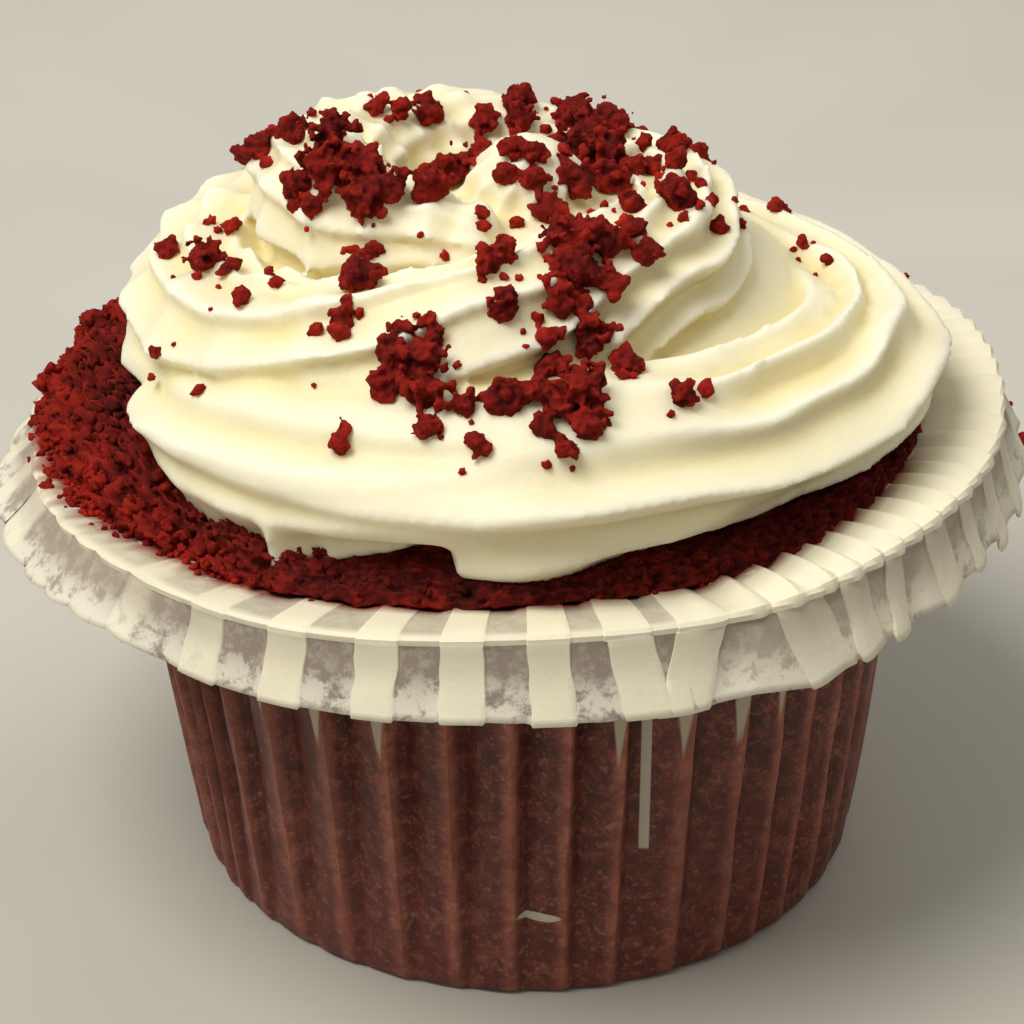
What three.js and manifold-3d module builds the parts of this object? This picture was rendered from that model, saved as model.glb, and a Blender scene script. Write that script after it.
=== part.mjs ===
// A red velvet cupcake: sponge baked in a pleated paper case, a piped swirl of frosting, and cake crumbs on top.
// Millimetres, +Z up. The origin is the middle of the flat base, and the side that is usually shown faces -Y.
import * as THREE from "three";
import { ParametricGeometry } from "three/addons/geometries/ParametricGeometry.js";
import { mergeVertices } from "three/addons/utils/BufferGeometryUtils.js";
import Module from "manifold-3d";

const wasm = await Module();
wasm.setup();

// Driving dimensions of the paper case
const BASE_RADIUS = 24.6;
const WALL_TOP_RADIUS = 27.5;
const WALL_TOP = 32.4;
const CREASE_RADIUS = 34.7;
const CREASE_TOP = 34.6;
const SKIRT_RADIUS = 36.4;
const SKIRT_FOOT = 29.8;
const PAPER = 0.4;
const PLEATS = 42;
const PLEAT_DEPTH = 0.7;
const RIM_SHIFT = -0.9;
const RIM_TILT_X = 1.7;
const RIM_TILT_Y = -1.1;

// Driving dimensions of the sponge
const GAP = 0.35;
const SHOULDER_RADIUS = 28.2;
const SHOULDER_TOP = 36.6;
const LEFT_RISE = 2;
const DOME_TOP = 39.6;
const LIP_THICKNESS = 1.1;
const FRONT_SPREAD = 2.8;
const LEFT_SPREAD = 6.9;
const SPILL_ANGLE = 172;
const FRONT_CRAG = 0.35;
const LEFT_CRAG = 0.95;

// Driving dimensions of the swirl
const START_ANGLE = -165;
const STATION_ANGLE = 45;
const TEETH = 12;
const TOOTH_DEPTH = 0.13;
const SLUMP = 0.14;
const SLUMP_BEARING = -30;
const STRETCHES = 9;
const STRETCH_STEPS = 7;
const PEAK_FOOT = 44;
const PEAK_SHOULDER = 50.5;
const PEAK_TOP = 55.4;
const PEAK_RADIUS = 5;

// Edges shorter than this are merged after the solids are joined
const SMALLEST_STEP = 0.06;

const RED = 0x6e1410;
const CREAM = 0xf1e8c4;
const PAPER_WHITE = 0xe6dfcc;

// The same sequence of draws every time
function seededDraw(seed) {
  let state = seed;
  return () => {
    state = (state + 0x6d2b79f5) | 0;
    let t = Math.imul(state ^ (state >>> 15), 1 | state);
    t = (t + Math.imul(t ^ (t >>> 7), 61 | t)) ^ t;
    return ((t ^ (t >>> 14)) >>> 0) / 4294967296;
  };
}

const mix = THREE.MathUtils.lerp;
const ease = THREE.MathUtils.smoothstep;
const radians = THREE.MathUtils.degToRad;

// A closed solid from a geometry whose coincident vertices are merged and whose collapsed triangles are dropped
function solidOf(geometry) {
  const bare = new THREE.BufferGeometry().setAttribute("position", geometry.getAttribute("position"));
  bare.setIndex(geometry.index);
  const merged = mergeVertices(bare, 1e-4);
  const kept = [];
  const index = merged.index.array;
  for (let i = 0; i < index.length; i += 3) {
    const [a, b, c] = index.subarray(i, i + 3);
    if (a !== b && b !== c && c !== a) kept.push(a, b, c);
  }
  return new wasm.Manifold(
    new wasm.Mesh({
      numProp: 3,
      vertProperties: merged.attributes.position.array,
      triVerts: new Uint32Array(kept),
    }),
  );
}

function geometryOf(solid) {
  const mesh = solid.getMesh();
  const geometry = new THREE.BufferGeometry();
  geometry.setAttribute("position", new THREE.BufferAttribute(mesh.vertProperties, 3));
  geometry.setIndex(new THREE.BufferAttribute(mesh.triVerts, 1));
  geometry.computeVertexNormals();
  return geometry;
}

// A surface round the Z axis: place(column, row) gives the radius, the angle and the height of each of its points
function turnedSurface(columns, rows, place) {
  const point = (u, v, target) => {
    const column = Math.round(u * columns) % columns;
    const { radius, angle, height } = place(column, Math.round(v * rows));
    target.set(radius * Math.cos(angle), radius * Math.sin(angle), height);
  };
  return new ParametricGeometry(point, columns, rows);
}

// Across one pleat: share of its width, and how far it stands out
const PLEAT_SHAPE = [
  [0, -1],
  [0.4, 0.35],
  [0.78, 1],
  [0.9, -0.3],
];

// Every pleat is a little wider or narrower than the last
const pleatStarts = (() => {
  const draw = seededDraw(11);
  const widths = Array.from({ length: PLEATS }, () => mix(0.78, 1.22, draw()));
  const total = widths.reduce((sum, width) => sum + width, 0);
  const starts = [0];
  for (const width of widths) starts.push(starts.at(-1) + (width / total) * 2 * Math.PI);
  return starts;
})();

// The angle of a point on a pleat, and how far the paper stands out there
function pleatPoint(pleat, share, lift) {
  return { angle: mix(pleatStarts[pleat], pleatStarts[pleat + 1], share), lift };
}

const paperColumns = Array.from({ length: PLEATS }, (_, pleat) =>
  PLEAT_SHAPE.map(([share, lift]) => pleatPoint(pleat, share, lift)),
).flat();

// The rim sits a little to the left of the base
function rimOffset(angle) {
  return RIM_SHIFT * Math.cos(angle);
}

// The rim isn't level, and it waves a little
function rimShift(angle) {
  const tilt = RIM_TILT_X * Math.cos(angle) + RIM_TILT_Y * Math.sin(angle);
  return tilt + 0.3 * Math.sin(3 * angle + 1) + 0.2 * Math.sin(7 * angle);
}

// The paper's outer side from the middle of its floor, up the wall, over the crease and down the skirt.
// Each station says how deep its pleats are, which way they stand out, and how much of the rim's tilt it takes.
const OUT = [1, 0];
const UP = [0, 1];
const PAPER_STATIONS = [
  { radius: 0, height: 0, depth: 0, towards: OUT, tilt: 0 },
  { radius: BASE_RADIUS - 0.7, height: 0, depth: 0.15, towards: OUT, tilt: 0 },
  { radius: BASE_RADIUS + 0.15, height: 1.3, depth: 0.4, towards: OUT, tilt: 0 },
  { radius: WALL_TOP_RADIUS, height: WALL_TOP, depth: 1, towards: OUT, tilt: 1 },
  { radius: CREASE_RADIUS - 0.5, height: CREASE_TOP - PAPER, depth: 0.45, towards: UP, tilt: 1 },
  { radius: CREASE_RADIUS + 0.1, height: CREASE_TOP - PAPER - 0.5, depth: 0.5, towards: OUT, tilt: 1 },
  { radius: SKIRT_RADIUS - PAPER, height: SKIRT_FOOT, depth: 0.8, towards: OUT, tilt: 0.7 },
];

// The unit direction from a station's outer side through the paper to its other side
function throughPaper(index) {
  const before = PAPER_STATIONS[Math.max(index - 1, 0)];
  const after = PAPER_STATIONS[Math.min(index + 1, PAPER_STATIONS.length - 1)];
  const along = [after.radius - before.radius, after.height - before.height];
  const length = Math.hypot(...along);
  return [-along[1] / length, along[0] / length];
}

function paperPoint(index, angle, lift, through) {
  const station = PAPER_STATIONS[index];
  const out = throughPaper(index);
  const stand = station.depth * PLEAT_DEPTH * lift;
  const axisPoint = index === 0 ? 0 : 1;
  return {
    angle,
    radius: axisPoint * (station.radius + out[0] * through + station.towards[0] * stand + station.tilt * rimOffset(angle)),
    height: station.height + out[1] * through + station.towards[1] * stand + station.tilt * rimShift(angle),
  };
}

function paperCase() {
  const last = PAPER_STATIONS.length - 1;
  return turnedSurface(paperColumns.length, 2 * last + 1, (column, row) => {
    const { angle, lift } = paperColumns[column];
    const inside = row > last;
    return paperPoint(inside ? 2 * last + 1 - row : row, angle, lift, inside ? PAPER : 0);
  });
}

// The height of the rim's upper face, out from the top of the wall
function rimTop(radius, angle) {
  const share = THREE.MathUtils.clamp((radius - WALL_TOP_RADIUS) / (CREASE_RADIUS - WALL_TOP_RADIUS), 0, 1);
  return mix(WALL_TOP + PAPER, CREASE_TOP, share) + 0.45 * PLEAT_DEPTH + rimShift(angle);
}

// How far an angle is inside a feature that faces one way: 1 in the middle of it, 0 outside
function facing(angle, middle, edge, full) {
  return ease(Math.cos(angle - radians(middle)), edge, full);
}

// Two columns a pleat, so that the sponge has the flutes of its case
const spongeColumns = Array.from({ length: PLEATS }, (_, pleat) => [
  pleatPoint(pleat, 0, -1.3),
  pleatPoint(pleat, 0.7, 0.3),
]).flat();

// Crags only where the crust shows, and deepest where the sponge broke open on the left
const EXPOSED_ROWS = [5, 6, 7, 8];
const cragDraws = (() => {
  const draw = seededDraw(5);
  return new Map(EXPOSED_ROWS.map((row) => [row, spongeColumns.map(() => mix(-1, 1, draw()))]));
})();

// The sponge from the middle of its underside, up inside the case, over its crust and to the middle of its dome.
// Everything above the case can be grown by a clearance.
const SPONGE_ROWS = 11;
function spongePoint(column, row, grown) {
  const { angle, lift } = spongeColumns[column];
  const flute = PLEAT_DEPTH * lift;
  const spill = facing(angle, SPILL_ANGLE, 0.1, 0.95);
  const shoulder = SHOULDER_TOP + LEFT_RISE * facing(angle, 180, 0.7, 1);
  const lipRadius = WALL_TOP_RADIUS + rimOffset(angle) + mix(FRONT_SPREAD, LEFT_SPREAD, spill);
  const lip = rimTop(lipRadius, angle) + GAP;
  const crustFoot = lip + LIP_THICKNESS;
  const inset = PAPER + GAP;
  const stations = [
    [0, inset],
    [BASE_RADIUS - 0.9 - inset + 0.3 * flute, inset],
    [BASE_RADIUS - 0.1 - inset + 0.4 * flute, inset + 1.2],
    [WALL_TOP_RADIUS - inset + flute + rimOffset(angle), WALL_TOP + rimShift(angle) + inset],
    [lipRadius - 0.2, lip],
    [lipRadius, crustFoot],
    [mix(lipRadius, SHOULDER_RADIUS, 0.35), mix(crustFoot, shoulder, 0.45)],
    [mix(lipRadius, SHOULDER_RADIUS, 0.7), mix(crustFoot, shoulder, 0.8)],
    [SHOULDER_RADIUS, shoulder],
    [SHOULDER_RADIUS - 2.5, mix(shoulder, DOME_TOP, 0.4)],
    [SHOULDER_RADIUS / 2, mix(shoulder, DOME_TOP, 0.85)],
    [0, DOME_TOP],
  ];
  const [radius, height] = stations[row];
  const crag = cragDraws.has(row) ? cragDraws.get(row)[column] * mix(FRONT_CRAG, LEFT_CRAG, spill) : 0;
  const above = row > 4 ? grown : 0;
  return {
    angle,
    radius: row === SPONGE_ROWS ? 0 : radius + crag + above,
    height: height + crag / 2 + above,
  };
}

function sponge(grown) {
  return turnedSurface(spongeColumns.length, SPONGE_ROWS, (column, row) => spongePoint(column, row, grown));
}

// Where the rope of frosting runs, at a station every eighth of a turn from its start at the left:
// how far it is from the axis, how high its middle is, and how thick it is there
const SPIRAL = new THREE.CatmullRomCurve3(
  [
    [23.6, 38.6, 4.8],
    [22.6, 40, 6.9],
    [21.8, 40.8, 7.5],
    [21.6, 40.2, 7.2],
    [21.4, 38.9, 6.5],
    [20.4, 38.9, 5.8],
    [20.6, 41.2, 6.3],
    [21, 42.2, 6.9],
    [20.8, 42.4, 7.3],
    [17.2, 45.4, 7.4],
    [12.3, 48.1, 6.9],
    [10.6, 48.6, 6.5],
    [9.8, 47.4, 6.3],
    [10, 46.8, 6.2],
    [11.4, 48.2, 6.1],
    [13.2, 49.8, 6],
    [12.2, 50.2, 5.9],
    [7.4, 50.2, 3.4],
  ].map(([radius, height, girth]) => new THREE.Vector3(radius, height, girth)),
  false,
  "catmullrom",
  0.5,
);
const STATIONS = SPIRAL.points.length - 1;

function ropeAt(station) {
  const { x: radius, y: height, z: girth } = SPIRAL.getPoint(station / STATIONS);
  const sway = 0.25 * Math.sin(station * 2.2) + 0.2 * Math.sin(station * 4.1 + 1);
  return {
    angle: radians(START_ANGLE + station * STATION_ANGLE),
    radius: radius + sway,
    height: height + sway / 2,
    girth,
    roll: radians(16 * station + 12 * Math.sin(station * 1.3)),
  };
}

// One stretch of rope with a star-shaped section that has slumped outward, closed at both ends
function ropeStretch(from, steps) {
  const around = 2 * TEETH;
  const place = (u, v, target) => {
    const row = Math.round(v * (steps + 2));
    const step = from + THREE.MathUtils.clamp(row - 1, 0, steps);
    const rope = ropeAt((STATIONS * step) / (STRETCHES * STRETCH_STEPS));
    const column = Math.round(u * around) % around;
    const bearing = rope.roll - (column / around) * 2 * Math.PI;
    const slumped = 1 + SLUMP * Math.cos(bearing - radians(SLUMP_BEARING));
    const onEnd = row === 0 || row === steps + 2;
    const reach = onEnd ? 0 : rope.girth * slumped * (column % 2 ? 1 - TOOTH_DEPTH : 1);
    const out = rope.radius + reach * Math.cos(bearing);
    target.set(out * Math.cos(rope.angle), out * Math.sin(rope.angle), rope.height + reach * Math.sin(bearing));
  };
  return new ParametricGeometry(place, around, steps + 2);
}

// The frosting inside the turns, which hides no hollow
function swirlHeart() {
  const profile = [
    [0, 35],
    [25.5, 35],
    [25.5, 38.5],
    [21, 43],
    [14, 47.5],
    [0, PEAK_SHOULDER],
  ];
  const columns = 24;
  return turnedSurface(columns, profile.length - 1, (column, row) => ({
    angle: (column / columns) * 2 * Math.PI,
    radius: profile[row][0],
    height: profile[row][1],
  }));
}

// The middle of the swirl, where the nozzle was lifted: a short twisted cone with the nozzle's teeth
function swirlPeak() {
  const profile = [
    [0, PEAK_FOOT],
    [PEAK_RADIUS, PEAK_FOOT],
    [PEAK_RADIUS, PEAK_SHOULDER],
    [0.85 * PEAK_RADIUS, mix(PEAK_SHOULDER, PEAK_TOP, 0.45)],
    [0.5 * PEAK_RADIUS, mix(PEAK_SHOULDER, PEAK_TOP, 0.8)],
    [0, PEAK_TOP],
  ];
  const columns = 2 * TEETH;
  return turnedSurface(columns, profile.length - 1, (column, row) => ({
    angle: (column / columns) * 2 * Math.PI + 0.25 * row,
    radius: profile[row][0] * (column % 2 ? 1 - TOOTH_DEPTH : 1),
    height: profile[row][1],
  }));
}

// Clumps of crumbs that were pressed on by hand: where each lies, seen from above, and how wide it is
const CLUMPS = [
  [-8, -21, 5],
  [0, -25, 4.5],
  [4, -24.5, 5],
  [6.5, -20, 2],
  [1.5, -20.5, 2.5],
  [-3, -27.5, 2],
  [2.5, -28, 1.5],
  [10, -22.5, 2],
  [-12, -25.5, 1.8],
  [-6, -26, 2.2],
  [-4, -25, 2.2],
  [-6, -20, 1.6],
  [-12, -18.5, 2.2],
  [-11.5, -20.5, 1.6],
  [-11, -16, 3],
  [-19, -14, 1.8],
  [-21, -9, 3.7],
  [-24.5, -4, 1.3],
  [-16, 3, 3.7],
  [-14, 1, 3.5],
  [-15, -1, 4],
  [-12, -4, 4],
  [-11, -6, 3.7],
  [-10.5, -7.5, 1.8],
  [-8.5, -6, 3.4],
  [-4.5, -3, 4],
  [-8, -2.5, 1.8],
  [-10.5, 5.5, 2],
  [-8, 5.5, 3.5],
  [-4.5, 7, 1.8],
  [-0.5, 9.5, 3.6],
  [4.5, 6, 6.4],
  [4, -1, 4.5],
  [2, -7, 4.5],
  [-1, -2, 3.4],
  [10, 1, 3.8],
  [3.5, -13.5, 4.9],
  [6.5, -10.5, 2.3],
  [10.5, -9, 2.7],
  [8, -14.5, 2.6],
  [2.5, -18, 3.2],
  [5.5, -17, 2.6],
  [-1, -18.5, 2.6],
  [-2.5, -16, 1.8],
  [-3, -8, 1.6],
  [-1, -15, 2],
  [12.5, -11, 1.5],
  [12.5, -8, 1.6],
  [14.5, -6, 1.6],
  [15.5, -6.5, 1.4],
  [18, 10, 1.5],
  [20, 6, 1.4],
  [21.5, 2, 1.4],
  [-12, 14.5, 3.2],
  [12, 13.5, 3.4],
  [4, 16, 3],
  [-3, 19, 2.4],
  [0, 24, 2],
  [14, 19, 1.8],
  [-20, 12, 2],
];
const SMALL_CRUMBS = 12;

// A lump with a rough outline
function clump(width, detail, draw) {
  const ball = new THREE.IcosahedronGeometry(width / 2, detail);
  const lump = mergeVertices(new THREE.BufferGeometry().setAttribute("position", ball.getAttribute("position")), 1e-4);
  const position = lump.getAttribute("position");
  for (let i = 0; i < position.count; i++) {
    const swell = mix(0.72, 1.18, draw());
    position.setXYZ(i, position.getX(i) * swell, position.getY(i) * swell, position.getZ(i) * swell * 0.85);
  }
  lump.rotateZ(draw() * 2 * Math.PI);
  return lump;
}

// The crumbs that show from a step away, each sunk a little in the frosting below it
function crumbSolids(swirl) {
  const draw = seededDraw(23);
  const target = new THREE.Mesh(geometryOf(swirl), new THREE.MeshBasicMaterial({ side: THREE.DoubleSide }));
  const caster = new THREE.Raycaster();
  const placed = [...CLUMPS];
  for (let i = 0; i < SMALL_CRUMBS; i++) {
    const angle = i * 2.4;
    const radius = 24 * Math.sqrt((i + 0.5) / SMALL_CRUMBS);
    placed.push([radius * Math.cos(angle), radius * Math.sin(angle), mix(1.3, 2.1, draw())]);
  }
  return placed.map(([x, y, width]) => {
    caster.set(new THREE.Vector3(x, y, 2 * PEAK_TOP), new THREE.Vector3(0, 0, -1));
    const [landing] = caster.intersectObject(target);
    const lump = clump(width, width > 3.6 ? 1 : 0, draw);
    lump.translate(x, y, landing.point.z + 0.18 * width);
    return solidOf(lump);
  });
}

function frosting() {
  let swirl = solidOf(swirlHeart()).add(solidOf(swirlPeak()));
  for (let i = 0; i < STRETCHES; i++) {
    swirl = swirl.add(solidOf(ropeStretch(i * STRETCH_STEPS, STRETCH_STEPS + 1)));
  }
  swirl = swirl.subtract(solidOf(sponge(GAP)));
  for (const crumb of crumbSolids(swirl)) swirl = swirl.add(crumb);
  const shells = swirl.simplify(SMALLEST_STEP).decompose();
  const outermost = shells.reduce((a, b) => (a.volume() > b.volume() ? a : b));
  return geometryOf(outermost);
}

function named(name, geometry, color, roughness) {
  const mesh = new THREE.Mesh(geometry, new THREE.MeshStandardMaterial({ color, roughness, metalness: 0 }));
  mesh.name = name;
  return mesh;
}

const cupcake = new THREE.Group();
cupcake.name = "cupcake";
cupcake.add(
  named("paper_case", paperCase(), PAPER_WHITE, 0.8),
  named("sponge", sponge(0), RED, 0.9),
  named("frosting", frosting(), CREAM, 0.45),
);

export default cupcake;
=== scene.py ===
"""A frosted red velvet cupcake in a pleated paper case, built around its measured solids."""

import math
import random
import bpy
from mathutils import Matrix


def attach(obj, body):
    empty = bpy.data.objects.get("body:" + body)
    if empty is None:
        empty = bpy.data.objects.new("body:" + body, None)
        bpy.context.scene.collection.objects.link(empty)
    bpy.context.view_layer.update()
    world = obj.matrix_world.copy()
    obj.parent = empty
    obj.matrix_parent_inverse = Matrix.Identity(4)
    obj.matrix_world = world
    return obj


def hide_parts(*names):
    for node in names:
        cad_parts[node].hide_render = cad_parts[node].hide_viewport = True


bl_info = {
    "name": "Red Velvet Cupcake",
    "version": (1, 0, 0),
    "blender": (4, 5, 0),
    "location": "3D View > Sidebar > Cupcake",
    "description": "Models a cupcake with piped frosting, cake crumbs and a pleated paper case",
    "category": "Add Mesh",
}

import bmesh
import bpy
import numpy as np
from mathutils import Matrix, Vector, noise
from mathutils.bvhtree import BVHTree

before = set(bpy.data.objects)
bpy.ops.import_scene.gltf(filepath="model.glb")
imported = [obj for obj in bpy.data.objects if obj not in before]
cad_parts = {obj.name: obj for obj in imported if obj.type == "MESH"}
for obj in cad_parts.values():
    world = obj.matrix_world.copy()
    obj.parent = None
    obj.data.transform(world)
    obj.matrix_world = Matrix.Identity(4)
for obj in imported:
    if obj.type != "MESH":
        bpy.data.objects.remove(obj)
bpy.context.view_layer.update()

MM = 0.001
TAU = 2 * math.pi

# Where each sequence of draws starts
PLEAT_SEED = 31
CLUMP_SEED = 7
LOOSE_SEED = 19
CRUST_SEED = 43
RIM_SEED = 61

SWIRL_VOXEL, QUICK_SWIRL_VOXEL = 0.345, 0.5
CLUMP_VOXEL, QUICK_CLUMP_VOXEL = 0.18, 0.3

# Shared maths


def mix(a, b, share):
    return a + (b - a) * share


def clamp(value, low=0.0, high=1.0):
    return max(low, min(high, value))


def ease(value, low, high):
    """0 below low, 1 above high and smooth between them."""
    share = clamp((value - low) / (high - low))
    return share * share * (3 - 2 * share)


def facing(angle, middle, edge, full):
    """How far an angle is inside a feature that faces one way: 1 in the middle of it, 0 outside."""
    return ease(math.cos(angle - math.radians(middle)), edge, full)


def signed(degrees):
    return (degrees + 180) % 360 - 180


def along(points, position):
    """A Catmull-Rom curve through evenly spaced points, at a position counted in points."""
    last = len(points) - 1
    index = min(int(position), last - 1)
    share = position - index
    p1, p2 = points[index], points[index + 1]
    p0 = points[index - 1] if index > 0 else [2 * a - b for a, b in zip(p1, p2)]
    p3 = points[index + 2] if index + 2 <= last else [2 * b - a for a, b in zip(p1, p2)]
    result = []
    for a, b, c, d in zip(p0, p1, p2, p3):
        v0, v1 = (c - a) / 2, (d - b) / 2
        result.append(
            (2 * b - 2 * c + v0 + v1) * share**3
            + (-3 * b + 3 * c - 2 * v0 - v1) * share**2
            + v0 * share
            + b
        )
    return result


def turned(radius, angle, height):
    """A point from millimetres round the Z axis to metres."""
    return Vector((radius * math.cos(angle), radius * math.sin(angle), height)) * MM


def grain(x, y, z, size):
    """Smooth noise from about -1 to 1 whose grains are this many millimetres wide."""
    return noise.noise(Vector((x, y, z)) / size)


# Helpers for meshes


def add_surface(bm, columns, rows, place, layers=()):
    """A closed grid round an axis. place(column, row) gives each point, and the value of each layer there."""
    slots = [bm.verts.layers.float[name] for name in layers]
    made = bmesh.ops.create_grid(bm, x_segments=columns, y_segments=rows, size=1.0)["verts"]
    for vert in made:
        column = round((vert.co.x + 1) / 2 * columns) % columns
        row = round((vert.co.y + 1) / 2 * rows)
        point, values = place(column, row)
        vert.co = point
        for slot, value in zip(slots, values):
            vert[slot] = value
    bmesh.ops.remove_doubles(bm, verts=made, dist=1e-7)


def new_bmesh(layers=()):
    bm = bmesh.new()
    for name in layers:
        bm.verts.layers.float.new(name)
    return bm


def finish_piece(bm, name, material):
    """Turns a bmesh into a piece that rides on the cupcake."""
    mesh = bpy.data.meshes.new(name)
    bm.to_mesh(mesh)
    bm.free()
    return piece_from_mesh(mesh, name, material)


def new_object(name, data):
    """A new object of the scene that holds a mesh, a lamp or a camera."""
    made = bpy.data.objects.new(name, data)
    bpy.context.scene.collection.objects.link(made)
    return made


def piece_from_mesh(mesh, name, material):
    """Makes a smooth-shaded piece from a mesh, with its material, and hangs it on the cupcake."""
    mesh.name = name
    mesh.materials.clear()
    mesh.materials.append(material)
    mesh.polygons.foreach_set("use_smooth", [True] * len(mesh.polygons))
    piece = new_object(name, mesh)
    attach(piece, "root")
    return piece


def voxel_skin(bm, voxel):
    """One closed skin round everything in a bmesh, as a new mesh. voxel is its fineness in millimetres."""
    raw = bpy.data.meshes.new("raw")
    bm.to_mesh(raw)
    bm.free()
    holder = new_object("holder", raw)
    remesh = holder.modifiers.new("Skin", "REMESH")
    remesh.mode = "VOXEL"
    remesh.voxel_size = voxel * MM
    skin = evaluated_mesh(holder)
    bpy.data.objects.remove(holder)
    bpy.data.meshes.remove(raw)
    return skin


def evaluated_mesh(holder):
    """The mesh of an object with its modifiers applied."""
    bpy.context.view_layer.update()
    evaluated = holder.evaluated_get(bpy.context.evaluated_depsgraph_get())
    return bpy.data.meshes.new_from_object(evaluated)


def apply_modifiers(piece):
    mesh = evaluated_mesh(piece)
    old = piece.data
    piece.modifiers.clear()
    piece.data = mesh
    bpy.data.meshes.remove(old)
    mesh.name = piece.name


def vertex_array(mesh, key="co"):
    """The place of every vertex, or its normal, one row each."""
    values = np.empty(len(mesh.vertices) * 3)
    mesh.vertices.foreach_get(key, values)
    return values.reshape(-1, 3)


def edge_array(mesh):
    """The two vertices of every edge, one row each."""
    pairs = np.empty(len(mesh.edges) * 2, dtype=np.int64)
    mesh.edges.foreach_get("vertices", pairs)
    return pairs.reshape(-1, 2)


def spread(values, pairs, rounds):
    """Averages a value over the mesh, edge by edge, this many times."""
    if values.ndim == 2:
        return np.stack([spread(column, pairs, rounds) for column in values.T], axis=1)
    ends = np.concatenate((pairs[:, 0], pairs[:, 1]))
    others = np.concatenate((pairs[:, 1], pairs[:, 0]))
    count = np.bincount(ends, minlength=len(values)).clip(1)
    for _ in range(rounds):
        total = np.bincount(ends, weights=values[others], minlength=len(values))
        values = (values + total / count) / 2
    return values


def store(mesh, name, values):
    """Keeps a value for each vertex, for the material to read."""
    layer = mesh.attributes.new(name, "FLOAT", "POINT")
    layer.data.foreach_set("value", np.asarray(values, dtype=np.float32))


def smooth_mesh(mesh, rounds):
    """Softens a mesh without shrinking it much."""
    pairs = edge_array(mesh)
    places = vertex_array(mesh)
    for _ in range(rounds):
        places = spread(places, pairs, 1)
        places = places - 0.5 * (spread(places, pairs, 1) - places)
    mesh.vertices.foreach_set("co", places.ravel())
    mesh.update()


def hollow_and_crest(mesh, reach, full):
    """Stores how far each point lies in a hollow, and how far it stands on a crest, both from 0 to 1.

    reach is in rounds of averaging, and full is the depth in millimetres that counts as 1."""
    pairs = edge_array(mesh)
    places = vertex_array(mesh)
    inward = ((spread(places, pairs, reach) - places) * vertex_array(mesh, "normal")).sum(1) / MM
    inward = spread(inward, pairs, 2)
    store(mesh, "hollow", np.clip(inward / full, 0, 1))
    store(mesh, "crest", np.clip(-inward / full, 0, 1))


# Helpers for materials


class Nodes:
    """Adds nodes to a tree and links them, so that each material reads as a list of steps."""

    def __init__(self, tree):
        self.tree = tree

    def add(self, kind, inputs=None, **values):
        node = self.tree.nodes.new(kind)
        # The settings come first, because a group's sockets appear once its tree is set
        for key, value in values.items():
            setattr(node, key, value)
        for key, value in (inputs or {}).items():
            if isinstance(value, bpy.types.NodeSocket):
                self.tree.links.new(value, node.inputs[key])
            else:
                node.inputs[key].default_value = value
        return node

    def noise(self, vector, scale, detail, roughness, distortion=0.0):
        inputs = {"Vector": vector, "Scale": scale, "Detail": detail, "Roughness": roughness}
        return self.add("ShaderNodeTexNoise", {**inputs, "Distortion": distortion}).outputs["Fac"]

    def steps(self, value, low, high):
        """0 at low, 1 at high and smooth between them."""
        return self.add(
            "ShaderNodeMapRange",
            {"Value": value, "From Min": low, "From Max": high},
            interpolation_type="SMOOTHSTEP",
        ).outputs["Result"]

    def blend(self, share, a, b):
        node = self.add("ShaderNodeMix", data_type="RGBA")
        self.put(node.inputs[0], share)
        self.put(node.inputs[6], a)
        self.put(node.inputs[7], b)
        return node.outputs[2]

    def math(self, operation, a, b=0.0, clamped=False):
        node = self.add("ShaderNodeMath", operation=operation, use_clamp=clamped)
        self.put(node.inputs[0], a)
        self.put(node.inputs[1], b)
        return node.outputs[0]

    def times(self, a, b, clamped=False):
        return self.math("MULTIPLY", a, b, clamped)

    def plus(self, a, b, clamped=False):
        return self.math("ADD", a, b, clamped)

    def minus(self, a, b):
        return self.math("SUBTRACT", a, b)

    def put(self, socket, value):
        if isinstance(value, bpy.types.NodeSocket):
            self.tree.links.new(value, socket)
        elif socket.type == "RGBA":
            socket.default_value = (*value, 1.0)
        else:
            socket.default_value = value

    def put_all(self, node, **values):
        """Sets or links several inputs of a node. An underscore stands for a space in an input's name."""
        for key, value in values.items():
            self.put(node.inputs[key.replace("_", " ")], value)

    def between(self, share, low, high):
        """low where the share is 0, and high where it is 1."""
        inputs = {"Value": share, "To Min": low, "To Max": high}
        return self.add("ShaderNodeMapRange", inputs).outputs["Result"]

    def attribute(self, name):
        return self.add("ShaderNodeAttribute", attribute_type="GEOMETRY", attribute_name=name).outputs["Fac"]

    def bump(self, height, strength, distance):
        inputs = {"Height": height, "Strength": strength, "Distance": distance}
        return self.add("ShaderNodeBump", inputs).outputs["Normal"]


def new_material(name):
    """A material with its helper, its shader and its object coordinates."""
    material = bpy.data.materials.new(name)
    material.use_nodes = True
    nodes = Nodes(material.node_tree)
    shader = material.node_tree.nodes["Principled BSDF"]
    here = nodes.add("ShaderNodeTexCoord").outputs["Object"]
    return material, nodes, shader, here


def linear(red, green, blue):
    """A colour as it looks on a screen, 0 to 255, to the shader's own scale."""
    shares = [value / 255 for value in (red, green, blue)]
    return tuple(v / 12.92 if v <= 0.04 else ((v + 0.055) / 1.055) ** 2.4 for v in shares)


# Materials

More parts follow.
